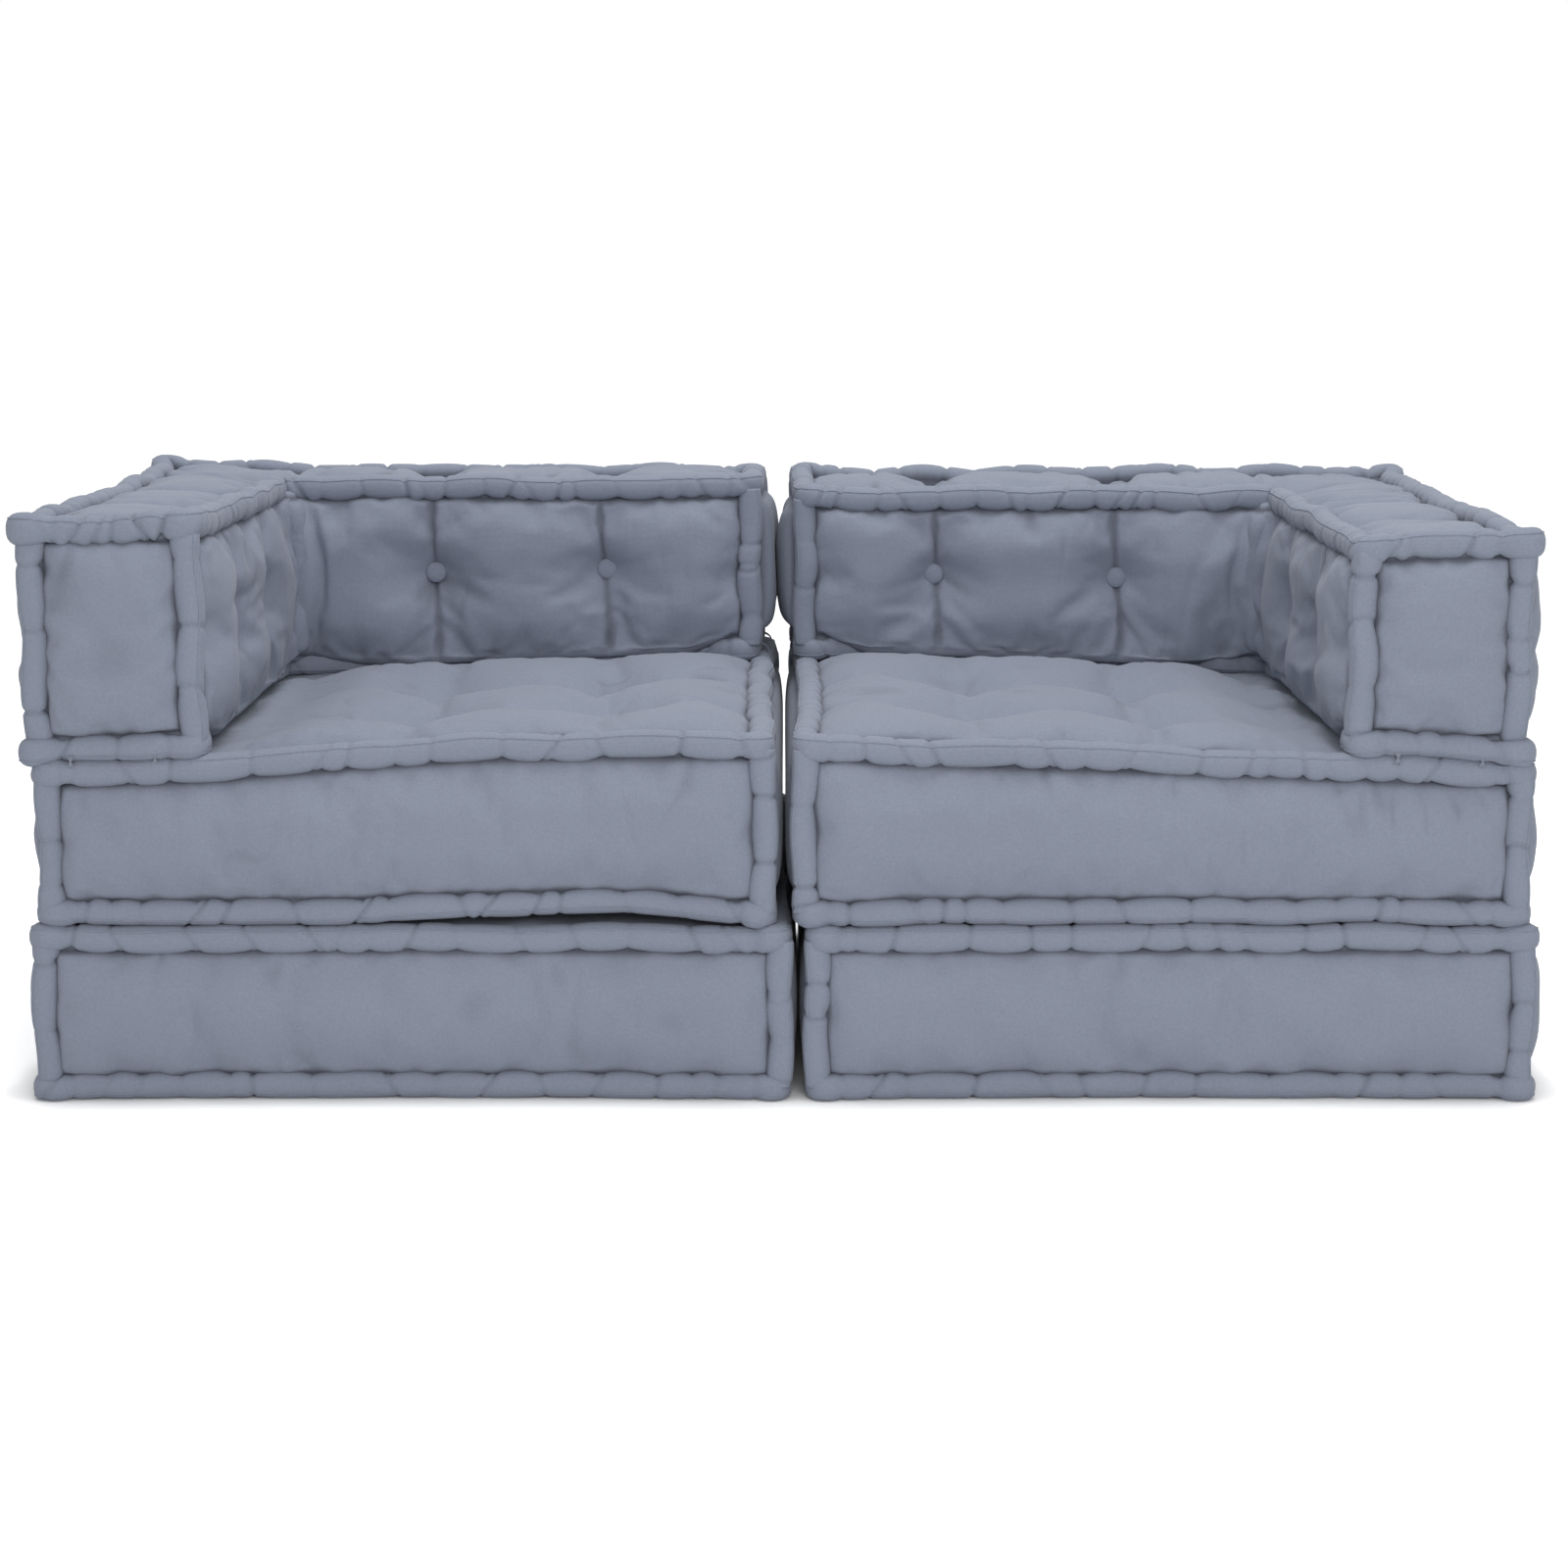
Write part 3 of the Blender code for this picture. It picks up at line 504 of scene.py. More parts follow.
def seat_tufts(pad):
    """(u, y) of a seat's tufts in front of its back and arm."""
    if pad.kind != "seat":
        return []
    nu, ny = pad.inner_corner
    steps = [SEAT_TUFT_START + k * SEAT_TUFT_PITCH for k in range(SEAT_TUFT_ROWS)]
    places = [(pad.u[0] + du, pad.y[0] + dy) for du in steps for dy in steps]
    return [(u, y) for u, y in places if u < nu - SEAT_TUFT_CLEAR and y < ny - SEAT_TUFT_CLEAR]


def beside_tuft(pad, data, axis, place):
    """How far along their wall points are from a tuft's upright fold; far off on other walls."""
    own = data.place[1 - axis] > pad.notch[1 - axis] - INNER_TURN
    own &= np.abs(data.facing[:, axis]) < 0.5
    return np.where(own, data.place[axis] - place, FAR)


def on_tuft_top(pad, data, axis, place):
    """How far points of an L's top are along it from a tuft, and whether they are on the tuft's wall."""
    return data.place[axis] - place, data.place[1 - axis] > pad.notch[1 - axis]


def seat_form(pad, data, height):
    """A seat's top from its plain crown: pressed flat under the L, drawn down beside the arm and tufted."""
    u, y, inward = data.u, data.y, data.inward
    nu, ny = pad.inner_corner
    beside_arm, beside_back = nu - u, ny - y
    clear = np.minimum(beside_arm, beside_back)
    pressed = PANEL_INSET * seam_rise(inward, PRESS_REACH) - PRESS_DEPTH
    free = rise(beside_back, BACK_SLOPE)
    dip = ARM_DIP * rise(beside_arm, ARM_DIP_PLACE) * dent(beside_arm - ARM_DIP_PLACE, ARM_DIP_WIDTH)
    dip = dip * rise(inward, ARM_DIP_START) * free
    crowned = pressed + (height - pressed) * rise(beside_arm, ARM_SLOPE) * free
    height = np.where(clear > 0, crowned - dip, pressed)
    places = seat_tufts(pad)
    for tu, ty in places:
        near = np.hypot(u - tu, y - ty)
        height -= SEAT_TUFT_DEPTH * np.exp(-((near / SEAT_TUFT_REACH) ** SEAT_TUFT_POWER))
    for axis, depth in enumerate(GROOVE_DEPTHS):
        for place in {tuft[axis] for tuft in places}:
            groove = depth * dent(data.place[axis] - place, GROOVE_WIDTH)
            groove = groove * rise(inward, GROOVE_START) * rise(clear, GROOVE_START)
            height -= np.where(clear > 0, groove, 0)
    return height


def top_form(pad, data):
    """How far the points of a top panel rise above its seams."""
    kind, inward = pad.kind, data.inward
    height = (PANEL_INSET + TOP_CROWN[kind]) * seam_rise(inward, TOP_REACH[kind])
    if kind == "seat":
        height = seat_form(pad, data, height)
    for axis, place, _ in pad.tufts():
        beside, inside = on_tuft_top(pad, data, axis, place)
        fold = fold_form(beside, TOP_FOLD_WIDTH, TOP_FOLD_SHARES)
        height -= np.where(inside, TOP_FOLD_DEPTH * fold * rise(inward, FOLD_START), 0)
    return height


def wall_form(pad, data):
    """How far the points of the side panels stand out from their seams."""
    y, z, edge = data.y, data.z, data.edge
    along = (2 * y - pad.y[0] - pad.y[1]) / (pad.y[1] - pad.y[0])
    to_middle = DRAW_IN * (1 - along**2) + pad.apart / 2 - MIDDLE_GAP[pad.kind]
    if pad.kind == "back":
        turn = 2 * math.pi * (y + MIDDLE_WAVE_LEAN * z) / MIDDLE_WAVE_LENGTH
        to_middle -= pad.side * MIDDLE_WAVE * np.sin(turn)
    crown = np.where(data.outer_side, OUTER_CROWN[pad.label], SIDE_CROWN)
    crown = PANEL_INSET + np.where(data.middle_side, to_middle, crown)
    height = crown * seam_rise(edge, SIDE_REACH, data.seam_start)
    height = height * seam_rise(data.corner, CORNER_REACH)
    for axis, place, tuft_z in pad.tufts():
        beside = beside_tuft(pad, data, axis, place)
        near = np.hypot(beside, z - tuft_z)
        tuft = (SIDE_CROWN + BUTTON_SEAT) * np.exp(-np.clip(near - TUFT_FLAT, 0, None) / TUFT_REACH)
        fold = FOLD_DEPTH * fold_form(beside, FOLD_WIDTH, FOLD_SHARES) * rise(edge, FOLD_START)
        valley = VALLEY_DEPTH * dent(z - tuft_z, VALLEY_WIDTH) * np.exp(-np.abs(beside) / VALLEY_REACH)
        valley = valley * rise(edge, FOLD_START)
        height -= (tuft**2 + fold**2 + valley**2) ** 0.5
    if pad.notch:
        from_corner = data.inner_corner
        height += INNER_TURN * np.clip(1 - from_corner / INNER_REACH, 0, 1) ** 2
        fold = INNER_FOLD + INNER_FOLD_BOW * np.sin(math.pi * data.share)
        inside = (data.facing[:, 1] < -0.5) & (y > pad.notch[1] - INNER_MARGIN)
        groove = INNER_FOLD_DEPTH[pad.label] * dent(from_corner - fold, INNER_FOLD_WIDTH)
        height -= np.where(inside, groove * rise(edge, FOLD_START), 0)
    return height


def tucked(pad, u, y, corner):
    """From 0 to 1, how far the lower roll is pushed in under the back's inner faces at (u, y)."""
    nu, ny = (n + PANEL_INSET for n in pad.notch)
    inner = (u < nu + TUCK_MARGIN) & (y < ny + TUCK_MARGIN)
    off_corner = 1 - dent(np.hypot(u - nu, y - ny), INNER_REACH)
    return inner * off_corner * np.clip(corner / CORNER_REACH - TUCK_START, 0, 1)


def sway(pad, data):
    """How far the upright folds through the tufts lean along their walls, as (u, y)."""
    moved = np.zeros((len(data.u), 2))
    leans = np.random.default_rng(pad.seed).random(BUTTON_PAIRS) - 0.5
    for lean, (axis, place, tuft_z) in zip(leans, pad.tufts()):
        beside = beside_tuft(pad, data, axis, place)
        shift = FOLD_SWAY * lean * (data.z - tuft_z) * dent(beside, FOLD_SWAY_REACH)
        shift = shift * rise(data.edge, FOLD_SWAY_REACH)
        moved[:, axis] += np.where(data.top | data.under, 0, shift)
    return moved


def held_points(pad, shell, data):
    """The points that the stuffing can't move: seams, folds, tufts and what lies against something."""
    top, u, y = data.top, data.u, data.y
    held = shell.seams | data.under | data.middle_side | (data.beside_seam < SEAM_START)
    if pad.kind == "base":
        held |= top
    if pad.kind == "seat":
        nu, ny = pad.inner_corner
        held |= top & (np.minimum(nu - u, ny - y) < HELD_UNDER)
    for tu, ty in seat_tufts(pad):
        held |= top & (np.hypot(u - tu, y - ty) < HELD_SEAT_TUFT)
    for axis, place, tuft_z in pad.tufts():
        beside = np.abs(beside_tuft(pad, data, axis, place))
        held |= ~top & (np.hypot(beside, data.z - tuft_z) < HELD_TUFT)
        held |= ~top & (beside < HELD_FOLD)
        beside, inside = on_tuft_top(pad, data, axis, place)
        held |= top & inside & (np.abs(beside) < HELD_FOLD)
    return held


def crumple(pad, data):
    """Fine creases: gathers along the seams, slack wrinkles on the panels and pleats round the tufts."""
    seed = 100 * pad.seed
    top, z, u, y = data.top, data.z, data.u, data.y
    inward = np.where(top, data.inward, data.edge)
    depth = np.zeros(len(u))
    for number, part in enumerate((top, ~top & data.upper, ~top & ~data.upper)):
        strong = number == 0 and pad.kind == "back"
        reach, pitch, most = BACK_TOP_GATHERS if strong else GATHERS
        creases = gathers(data.along[part], inward[part], seed + number, pitch, reach, GATHER_WIDTH)
        depth[part] -= most * creases * fade_in(inward[part], GATHER_START)
    reach, pitch, most = POST_GATHERS
    corner = data.corner[~top]
    creases = gathers(z[~top], corner, seed + 4, pitch, reach, POST_GATHER_WIDTH)
    depth[~top] -= most * creases * fade_in(corner, GATHER_START)
    flat = np.column_stack((data.along, np.where(top, inward, z) * SLACK_STRETCH))
    slack = ripple(flat, SLACK_LENGTH, seed + 5)
    where = np.clip(0.4 + ripple(flat, SLACK_PATCH, seed + 6), 0, 1)
    depth -= SLACK_DEPTH * dent(slack, SLACK_WIDTH) * where * fade_in(inward, SLACK_START)
    waves = ripple(np.column_stack((u, y, z)), WAVE_LENGTH, seed + 7)
    depth += WAVE_DEPTH * waves * fade_in(inward, WAVE_START)
    for number, (axis, place, tuft_z) in enumerate(pad.tufts()):
        beside = beside_tuft(pad, data, axis, place)
        folds = pleats(beside, z - tuft_z, seed + 10 + number, BACK_PLEAT_REACH)
        depth -= np.where(top, 0, PLEAT_DEPTH * folds)
    for number, (tu, ty) in enumerate(seat_tufts(pad)):
        folds = pleats(u - tu, y - ty, seed + 10 + number, SEAT_PLEAT_REACH)
        depth -= np.where(top, PLEAT_DEPTH * folds, 0)
    return depth


def lifted(pad, points):
    """Points moved up where the stuffing is uneven: at the left seat's front edge and the backs' tops."""
    u, y, z = points.T
    moved = points.copy()
    if pad.name == "left_seat":
        ahead, up = y - pad.y[0], z - pad.z[0]
        across = np.clip((u - LIFT_START) / LIFT_SPAN, 0, 1)
        forward = np.clip(1 - ahead / LIFT_REACH, 0, 1) ** 2
        low = np.clip(1 - up / LIFT_HEIGHT, 0, 1)
        arch = np.sin(math.pi * across**LIFT_SKEW) ** LIFT_POWER
        moved[:, 2] += LIFT * arch * forward * low
        forward = np.clip(1 - ahead / BOW_REACH, 0, 1) ** 2
        high = fade_in(up, BOW_HEIGHT) ** 2
        moved[:, 2] += SEAT_BOW * np.sin(math.pi * fade_in(u, BOW_SPAN)) * forward * high
    if pad.notch:
        nu, ny = pad.notch
        start = max(tuft_z for _, _, tuft_z in pad.tufts()) + RISE_START
        high = fade_in(z - start, pad.z[1] - start)
        shares = (
            fade_in(ny - y, ny - pad.y[0]),
            fade_in(u - nu, pad.u[1] - nu),
            fade_in(y - ny, pad.y[1] - ny),
        )
        slopes = [most * share for most, share in zip(TOP_RISE[pad.label], shares)]
        moved[:, 2] += high * np.max(slopes, axis=0)
    return moved


def start_panels(pad, material):
    """The panels of one mattress as one closed piece, with the points that its stuffing can't move."""
    shell = Shell(pad)
    data = Measures(pad, shell.plan, shell.facing)
    form = np.where(data.top, top_form(pad, data), wall_form(pad, data))
    ends = (shell.plan[:, 2] == 0) | (shell.plan[:, 2] == 1)
    form[(shell.seams & ends) | data.under] = 0
    points = np.column_stack((shell.plan[:, :2] + sway(pad, data), data.z))
    points += shell.facing * form[:, None]
    points = pad.place(lifted(pad, points))
    made = make_object(f"{pad.name}_panels", points, shell.faces, material, flip=pad.side < 0)
    write_points(made.data, shell.plan, "plan")
    write_points(made.data, shell.facing, "facing")
    return pad, made, held_points(pad, shell, data)


def swell(panels):
    """Stuffs all the panels: cloth with pressure inside, held at its seams, folds and tufts."""
    for pad, piece, held in panels:
        group = piece.vertex_groups.new(name="held")
        group.add(np.flatnonzero(held).tolist(), 1.0, "REPLACE")
        cloth = piece.modifiers.new("Stuffing", "CLOTH")
        for name, value in CLOTH.items():
            setattr(cloth.settings, name, value)
        for name, value in STIFFNESS.items():
            setattr(cloth.settings, f"{name}_stiffness", value)
        cloth.settings.shrink_min = -SPARE_CLOTH[pad.kind]
        cloth.settings.vertex_group_mass = "held"
        cloth.settings.effector_weights.gravity = 0
        cloth.collision_settings.use_collision = False
        cloth.point_cache.frame_end = SIM_FRAMES
    for number in range(1, SIM_FRAMES + 1):
        scene.frame_set(number)
    graph = bpy.context.evaluated_depsgraph_get()
    for pad, piece, _ in panels:
        start, end = read_points(piece.data), read_points(piece.evaluated_get(graph).data)
        step = end - start
        length = np.linalg.norm(step, axis=1, keepdims=True)
        top = read_points(piece.data, "facing")[:, 2:] > FACING_UP
        most = np.where(top, SWELL_MOST_TOP[pad.kind], SWELL_MOST[pad.kind])
        step *= np.minimum(1, most / np.maximum(length, 1e-9))
        piece.modifiers.clear()
        piece.vertex_groups.clear()
        write_points(piece.data, start + step)
    scene.frame_set(1)


def panel_nooks(pad, data, creases):
    """The painted shade of points of the panels, darker in seams, creases, folds and tufts."""
    top = data.top
    nook = dent(data.beside_seam - data.seam_start, SEAM_SHADE)
    nook += np.clip((-creases - CREASE_SHADE_FROM) / CREASE_SHADE_SPAN, 0, CREASE_SHADE)
    for axis, place, _ in pad.tufts():
        fold = dent(beside_tuft(pad, data, axis, place), FOLD_SHADE_WIDTH)
        nook += np.where(top, 0, FOLD_SHADE * (fold * rise(data.edge, FOLD_START)))
    for tu, ty in seat_tufts(pad):
        tuft = dent(np.hypot(data.u - tu, data.y - ty), TUFT_SHADE_REACH)
        nook += np.where(top, TUFT_SHADE * tuft, 0)
    return nook


def finish_panels(pad, piece):
    """Divides the stuffed panels once more, creases them and keeps their painted shade."""
    smooth = piece.modifiers.new("Rounding", "SUBSURF")
    smooth.levels = smooth.render_levels = 1
    graph = bpy.context.evaluated_depsgraph_get()
    mesh = bpy.data.meshes.new_from_object(piece.evaluated_get(graph))
    piece.modifiers.clear()
    piece.data = mesh
    plan, facing = read_points(mesh, "plan"), read_points(mesh, "facing")
    data = Measures(pad, plan, facing)
    loose = LOOSE_DEPTH * ripple(plan[:, :2], LOOSE_LENGTH, pad.seed)
    creases = np.where(data.under | data.middle_side, 0, crumple(pad, data))
    depth = np.where(data.under, loose, creases)
    if pad.kind == "base":
        depth += np.where(data.top, LOOSE_ON_BASE * loose * rise(data.inward, LOOSE_START), 0)
    points = read_points(mesh) + facing * (pad.side, 1, 1) * depth[:, None]
    points[:, 2] = np.maximum(points[:, 2], 0.0)
    write_points(mesh, points)
    # painted shade in seams, creases, folds and tufts, kept on the mesh for the cotton's colour
    write_nooks(mesh, panel_nooks(pad, data, creases))
    settle(piece, pad.body, "cotton", f"{pad.name}_cover", f"{pad.name}_bottom_panel")


# Rolls


def turns_of(corners):
    """Each corner of an outline with the directions in which its edges arrive and leave."""
    count = len(corners)
    for k in range(count):
        before, here, after = (np.array(corners[(k + d) % count]) for d in (-1, 0, 1))
        arrive, leave = here - before, after - here
        yield here, arrive / np.linalg.norm(arrive), leave / np.linalg.norm(leave)


def rounded_path(corners, radius, step):
    """A closed path through the corners with rounded turns: places and outward directions."""
    places, outward = [], []
    following = corners[1:] + corners[:1]
    for (here, arrive, leave), after in zip(turns_of(corners), following):
        turn = math.copysign(1, arrive[0] * leave[1] - arrive[1] * leave[0])
        centre = here + radius * (leave - arrive)
        n_in, n_out = np.array((arrive[1], -arrive[0])), np.array((leave[1], -leave[0]))
        steps = max(4, round(radius * math.pi / 2 / step))
        for angle in np.linspace(0, math.pi / 2, steps + 1):
            normal = n_in * math.cos(angle) + n_out * math.sin(angle)
            places.append(centre + turn * radius * normal)
            outward.append(normal)
        start, stop = here + radius * leave, np.array(after) - radius * leave
        cells = max(1, round(np.linalg.norm(stop - start) / step))
        places += [start + (stop - start) * s / cells for s in range(1, cells)]
        outward += [n_out] * (cells - 1)
    return np.array(places), np.array(outward)


class RollShape:
    """A stuffed roll: full between its stitches, drawn in at its seams and creased at each stitch."""

    def __init__(self, length, rope, seams, seed):
        rng = np.random.default_rng(seed)
        count = max(2, round(length / (ROPE_PITCH if rope else STITCH_PITCH)))
        gaps = STITCH_GAP[0] + STITCH_GAP[1] * rng.random(count)
        self.marks = np.concatenate(([0], np.cumsum(gaps))) * length / gaps.sum()
        self.full, self.lean, self.deep = rng.random((3, len(self.marks)))
        self.lean[-1], self.deep[-1] = self.lean[0], self.deep[0]
        self.seams, self.crease = seams, ROPE_DEPTH if rope else CREASE_DEPTH

    def spot(self, along):
        return np.clip(np.searchsorted(self.marks, along, side="right") - 1, 0, len(self.marks) - 2)

    def beside_seam(self, turn, width):
        aways = [(turn - seam + math.pi) % (2 * math.pi) - math.pi for seam in self.seams]
        return np.max([dent(away, width) for away in aways], axis=0)

    def creases(self, along, turn):
        """About 1 in a deep crease across the roll, 0 between the creases."""
        spot, total = self.spot(along), 0
        for end in (spot, spot + 1):
            slant = CREASE_LEAN * ROLL_RADIUS * (self.lean[end] - 0.5) * np.sin(turn)
            total = total + self.deep[end] * dent(along - self.marks[end] - slant, CREASE_WIDTH)
        return total

    def radius(self, along, turn, corner):
        """The radius at places along the roll and turns round it."""
        spot = self.spot(along)
        start, stop = self.marks[spot], self.marks[spot + 1]
        arc = np.sin(math.pi * np.clip((along - start) / (stop - start), 0, 1)) ** 0.5
        pulled = STITCH_PULL * self.beside_seam(turn, PULL_WIDTH) * (1 - arc)
        shape = ROLL_LEAST + (ROLL_SWELL[0] + ROLL_SWELL[1] * self.full[spot]) * arc - pulled
        pinched = CORNER_PINCH * dent(corner - PINCH_PLACE, PINCH_WIDTH)
        shape -= self.crease * self.creases(along, turn) + pinched
        power = ROLL_SQUARENESS
        square = (np.abs(np.cos(turn)) ** power + np.abs(np.sin(turn)) ** power) ** (-1 / power)
        return ROLL_RADIUS * shape * square


def tube_faces(count, sides, closed):
    faces = []
    ring = [(j, (j + 1) % sides) for j in range(sides)]
    for i in range(count if closed else count - 1):
        here, after = i * sides, (i + 1) % count * sides
        faces += [[here + a, here + b, after + b, after + a] for a, b in ring]
    if not closed:
        faces.append(list(range(sides))[::-1])
        faces.append([(count - 1) * sides + j for j in range(sides)])
    return faces


def swept(path, first, second, radius):
    """Points of a tube along a path, with the two directions that span each section and its radii."""
    turns = np.linspace(0, 2 * math.pi, radius.shape[1], endpoint=False)[None, :, None]
    ring = np.cos(turns) * first[:, None, :] + np.sin(turns) * second[:, None, :]
    return (path[:, None, :] + radius[:, :, None] * ring).reshape(-1, 3)


class Bundle:
    """Points and faces of several tubes that make one piece, with the painted shade of each point."""

    def __init__(self):
        self.points, self.faces, self.nooks, self.count = [], [], [], 0

    def add(self, points, faces, nook=0.0):
        self.faces += [[self.count + n for n in face] for face in faces]
        self.points.append(points)
        self.nooks.append(np.zeros(len(points)) + nook)
        self.count += len(points)

    def roll(self, path, first, second, along, corner, shape, crest, closed):
        """A roll along a path, with the fine stitched ridge that runs along it at one turn."""
        count, places = len(path), along[:, None]
        turns = np.linspace(0, 2 * math.pi, ROLL_SIDES, endpoint=False)[None, :]
        radius = shape.radius(places, turns, corner[:, None])
        # painted shade: the colour darkened beside the roll's seams and in its creases
        nook = shape.beside_seam(turns, ROLL_SEAM_SHADE) + ROLL_SHADE * shape.creases(places, turns)
        faces = tube_faces(count, ROLL_SIDES, closed)
        self.add(swept(path, first, second, radius), faces, nook.ravel())
        reach = shape.radius(along, np.full(count, crest), corner)[:, None]
        line = path + reach * (math.cos(crest) * first + math.sin(crest) * second)
        radius = np.full((count, CREST_SIDES), CREST_RADIUS)
        self.add(swept(line, first, second, radius), tube_faces(count, CREST_SIDES, closed))


def roll_line(pad, lower):
    """The plan of a roll's line: eared at the outer corners, and tucked in under the back's inner faces."""
    corners = pad.corners(ROLL_RADIUS)
    plan, outward = rounded_path(corners, ROLL_TURN, ROLL_STEP)
    moved = plan.copy()
    corner = np.full(len(plan), FAR)
    for number, (here, arrive, leave) in enumerate(outer_turns(pad)):
        near = np.hypot(*(plan - here).T)
        corner = np.minimum(corner, near)
        out = (arrive - leave) * (EAR_AT_END if pad.notch and number in L_ENDS else 1)
        if here[0] < pad.u[0] + 2 * ROLL_RADIUS:
            out[0] = 0
        moved += EAR[pad.kind] * dent(near, EAR_REACH)[:, None] * out
    if pad.notch and lower:
        moved -= TUCK * tucked(pad, *plan.T, corner)[:, None] * outward
    return moved, np.column_stack((outward, np.zeros(len(plan)))), corner


def outer_turns(pad):
    """The turns at the outer corners, where a roll stands upright."""
    found = list(turns_of(pad.corners(ROLL_RADIUS)))
    return found[:-1] if pad.notch else found


def add_edge(pad, bundle, number):
    """The roll round a mattress's lower edge, number 0, or its upper one, number 1."""
    level, side = ((pad.bottom, 1), (pad.top, -1))[number]
    plan, outward, corner = roll_line(pad, lower=number == 0)
    seed = 100 * pad.seed + 20 + number
    edge = KINDS.index(pad.kind) + number
    path = np.column_stack((plan, level(plan[:, 0]) + side * ROLL_RADIUS))
    steps = np.linalg.norm(np.diff(path, axis=0), axis=1)
    along = np.concatenate(([0], np.cumsum(steps)))
    path += outward * (ROLL_SWAY * ripple(plan, SWAY_LENGTH, seed))[:, None]
    path[:, 2] += EDGE_WAVE[edge] * ripple(plan, EDGE_WAVE_LENGTH, 10 * edge + pad.side + 1)
    spread = CORNER_SPREAD * side * dent(corner, CORNER_SPREAD_REACH)
    path[:, 2] -= SINK[pad.kind] * (number == 0) + spread
    rope = edge == len(KINDS)
    shape = RollShape(along[-1] + ROLL_STEP, rope, (side * math.pi / 2, math.pi), seed)
    bundle.roll(path, outward, Z_AXIS, along, corner, shape, CREST_TURNS[number], True)


def add_post(pad, bundle, number, here, arrive, leave):
    """The upright roll at an outer corner of a mattress."""
    low, high = pad.bottom(here[0]) + ROLL_RADIUS, pad.top(here[0]) - ROLL_RADIUS
    z = np.linspace(low, high, round((high - low) / ROLL_STEP) + 1)
    seed = 100 * pad.seed + 40 + number
    wave = POST_SWAY * np.sin(2 * math.pi * z / SWAY_LENGTH + seed)
    path = np.column_stack((here[0] + wave, here[1] - wave, z))
    seams = [math.atan2(along[1], along[0]) for along in (-arrive, leave)]
    shape = RollShape(high - low, False, seams, seed)
    out = arrive - leave
    crest = math.atan2(out[1], out[0])
    bundle.roll(path, X_AXIS, Y_AXIS, z - low, np.full(len(z), FAR), shape, crest, False)


def add_rolls(pad, material):
    """The stuffed rolls along every edge of one mattress, as one piece."""
    bundle = Bundle()
    for number in (0, 1):
        add_edge(pad, bundle, number)
    for number, turn in enumerate(outer_turns(pad)):
        add_post(pad, bundle, number, *turn)
    points = pad.place(lifted(pad, np.concatenate(bundle.points)))
    points[:, 2] = np.maximum(points[:, 2], 0.0)
    made = make_object(f"{pad.name}_rolls", points, bundle.faces, material, flip=pad.side < 0)
    # the rolls' painted shade in seams and creases, kept for the cotton's colour
    write_nooks(made.data, np.concatenate(bundle.nooks))
    settle(made, pad.body, "cotton", f"{pad.name}_edge_roll")


# Buttons and stitches


def button_points(number):
    """A dome with its rim turned under, and its cloth pleated towards the edge."""
    turns = np.linspace(0, 2 * math.pi, BUTTON_SIDES, endpoint=False)
    fine, coarse = np.sin(BUTTON_PLEATS * turns + number), np.sin(BUTTON_FOLDS * turns)
    points = [[[0, 0, BUTTON_HEIGHT]]]
    for k in range(1, BUTTON_RINGS + 1):
        share = k / BUTTON_RINGS
        if share < BUTTON_FACE:
            angle = share / BUTTON_FACE * math.pi / 2
            radius = BUTTON_RADIUS * math.sin(angle)
            height = BUTTON_HEIGHT * (BUTTON_EDGE + (1 - BUTTON_EDGE) * math.cos(angle))
        else:
            under = (share - BUTTON_FACE) / (1 - BUTTON_FACE)
            radius = BUTTON_RADIUS * (1 - BUTTON_UNDER * under**2)
            height = BUTTON_HEIGHT * BUTTON_EDGE * (1 - under)
        pleated = 1 + BUTTON_PLEAT_DEPTH * share**4 * fine + BUTTON_FOLD_DEPTH * share**3 * coarse
        away = radius * pleated
        points.append(np.column_stack((away * np.cos(turns), away * np.sin(turns), 0 * turns + height)))
    return np.concatenate(points)


def button_faces():
    ring = [(j, (j + 1) % BUTTON_SIDES) for j in range(BUTTON_SIDES)]
    starts = [1 + k * BUTTON_SIDES for k in range(BUTTON_RINGS)]
    faces = [[0, 1 + a, 1 + b] for a, b in ring]
    for here, after in zip(starts, starts[1:]):
        faces += [[here + a, after + a, after + b, here + b] for a, b in ring]
    faces.append([starts[-1] + a for a, _ in ring][::-1])
    return faces


def add_button(label, where, number, material):
    """A button covered in cotton, in the place of its node."""
    node = f"{label}_back_{where}_button_{number}"
    low, high = (Vector(c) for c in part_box(node))
    size = high - low
    axis = min(range(3), key=lambda k: size[k])
    outward = Vector((0, 0, 0))
    outward[axis] = (1 if where == "rear" else -1) * (SIDES[label] if axis == 0 else 1)
    back = (low + high) / 2 - outward * size[axis] / 2
    turned = np.array(outward.to_track_quat("Z", "Y").to_matrix())
    points = button_points(number) @ turned.T + np.array(back)
    made = make_object(f"{label}_{where}_button_{number}", points, button_faces(), material)
    settle(made, f"{label}_seat", "button_cotton", node)


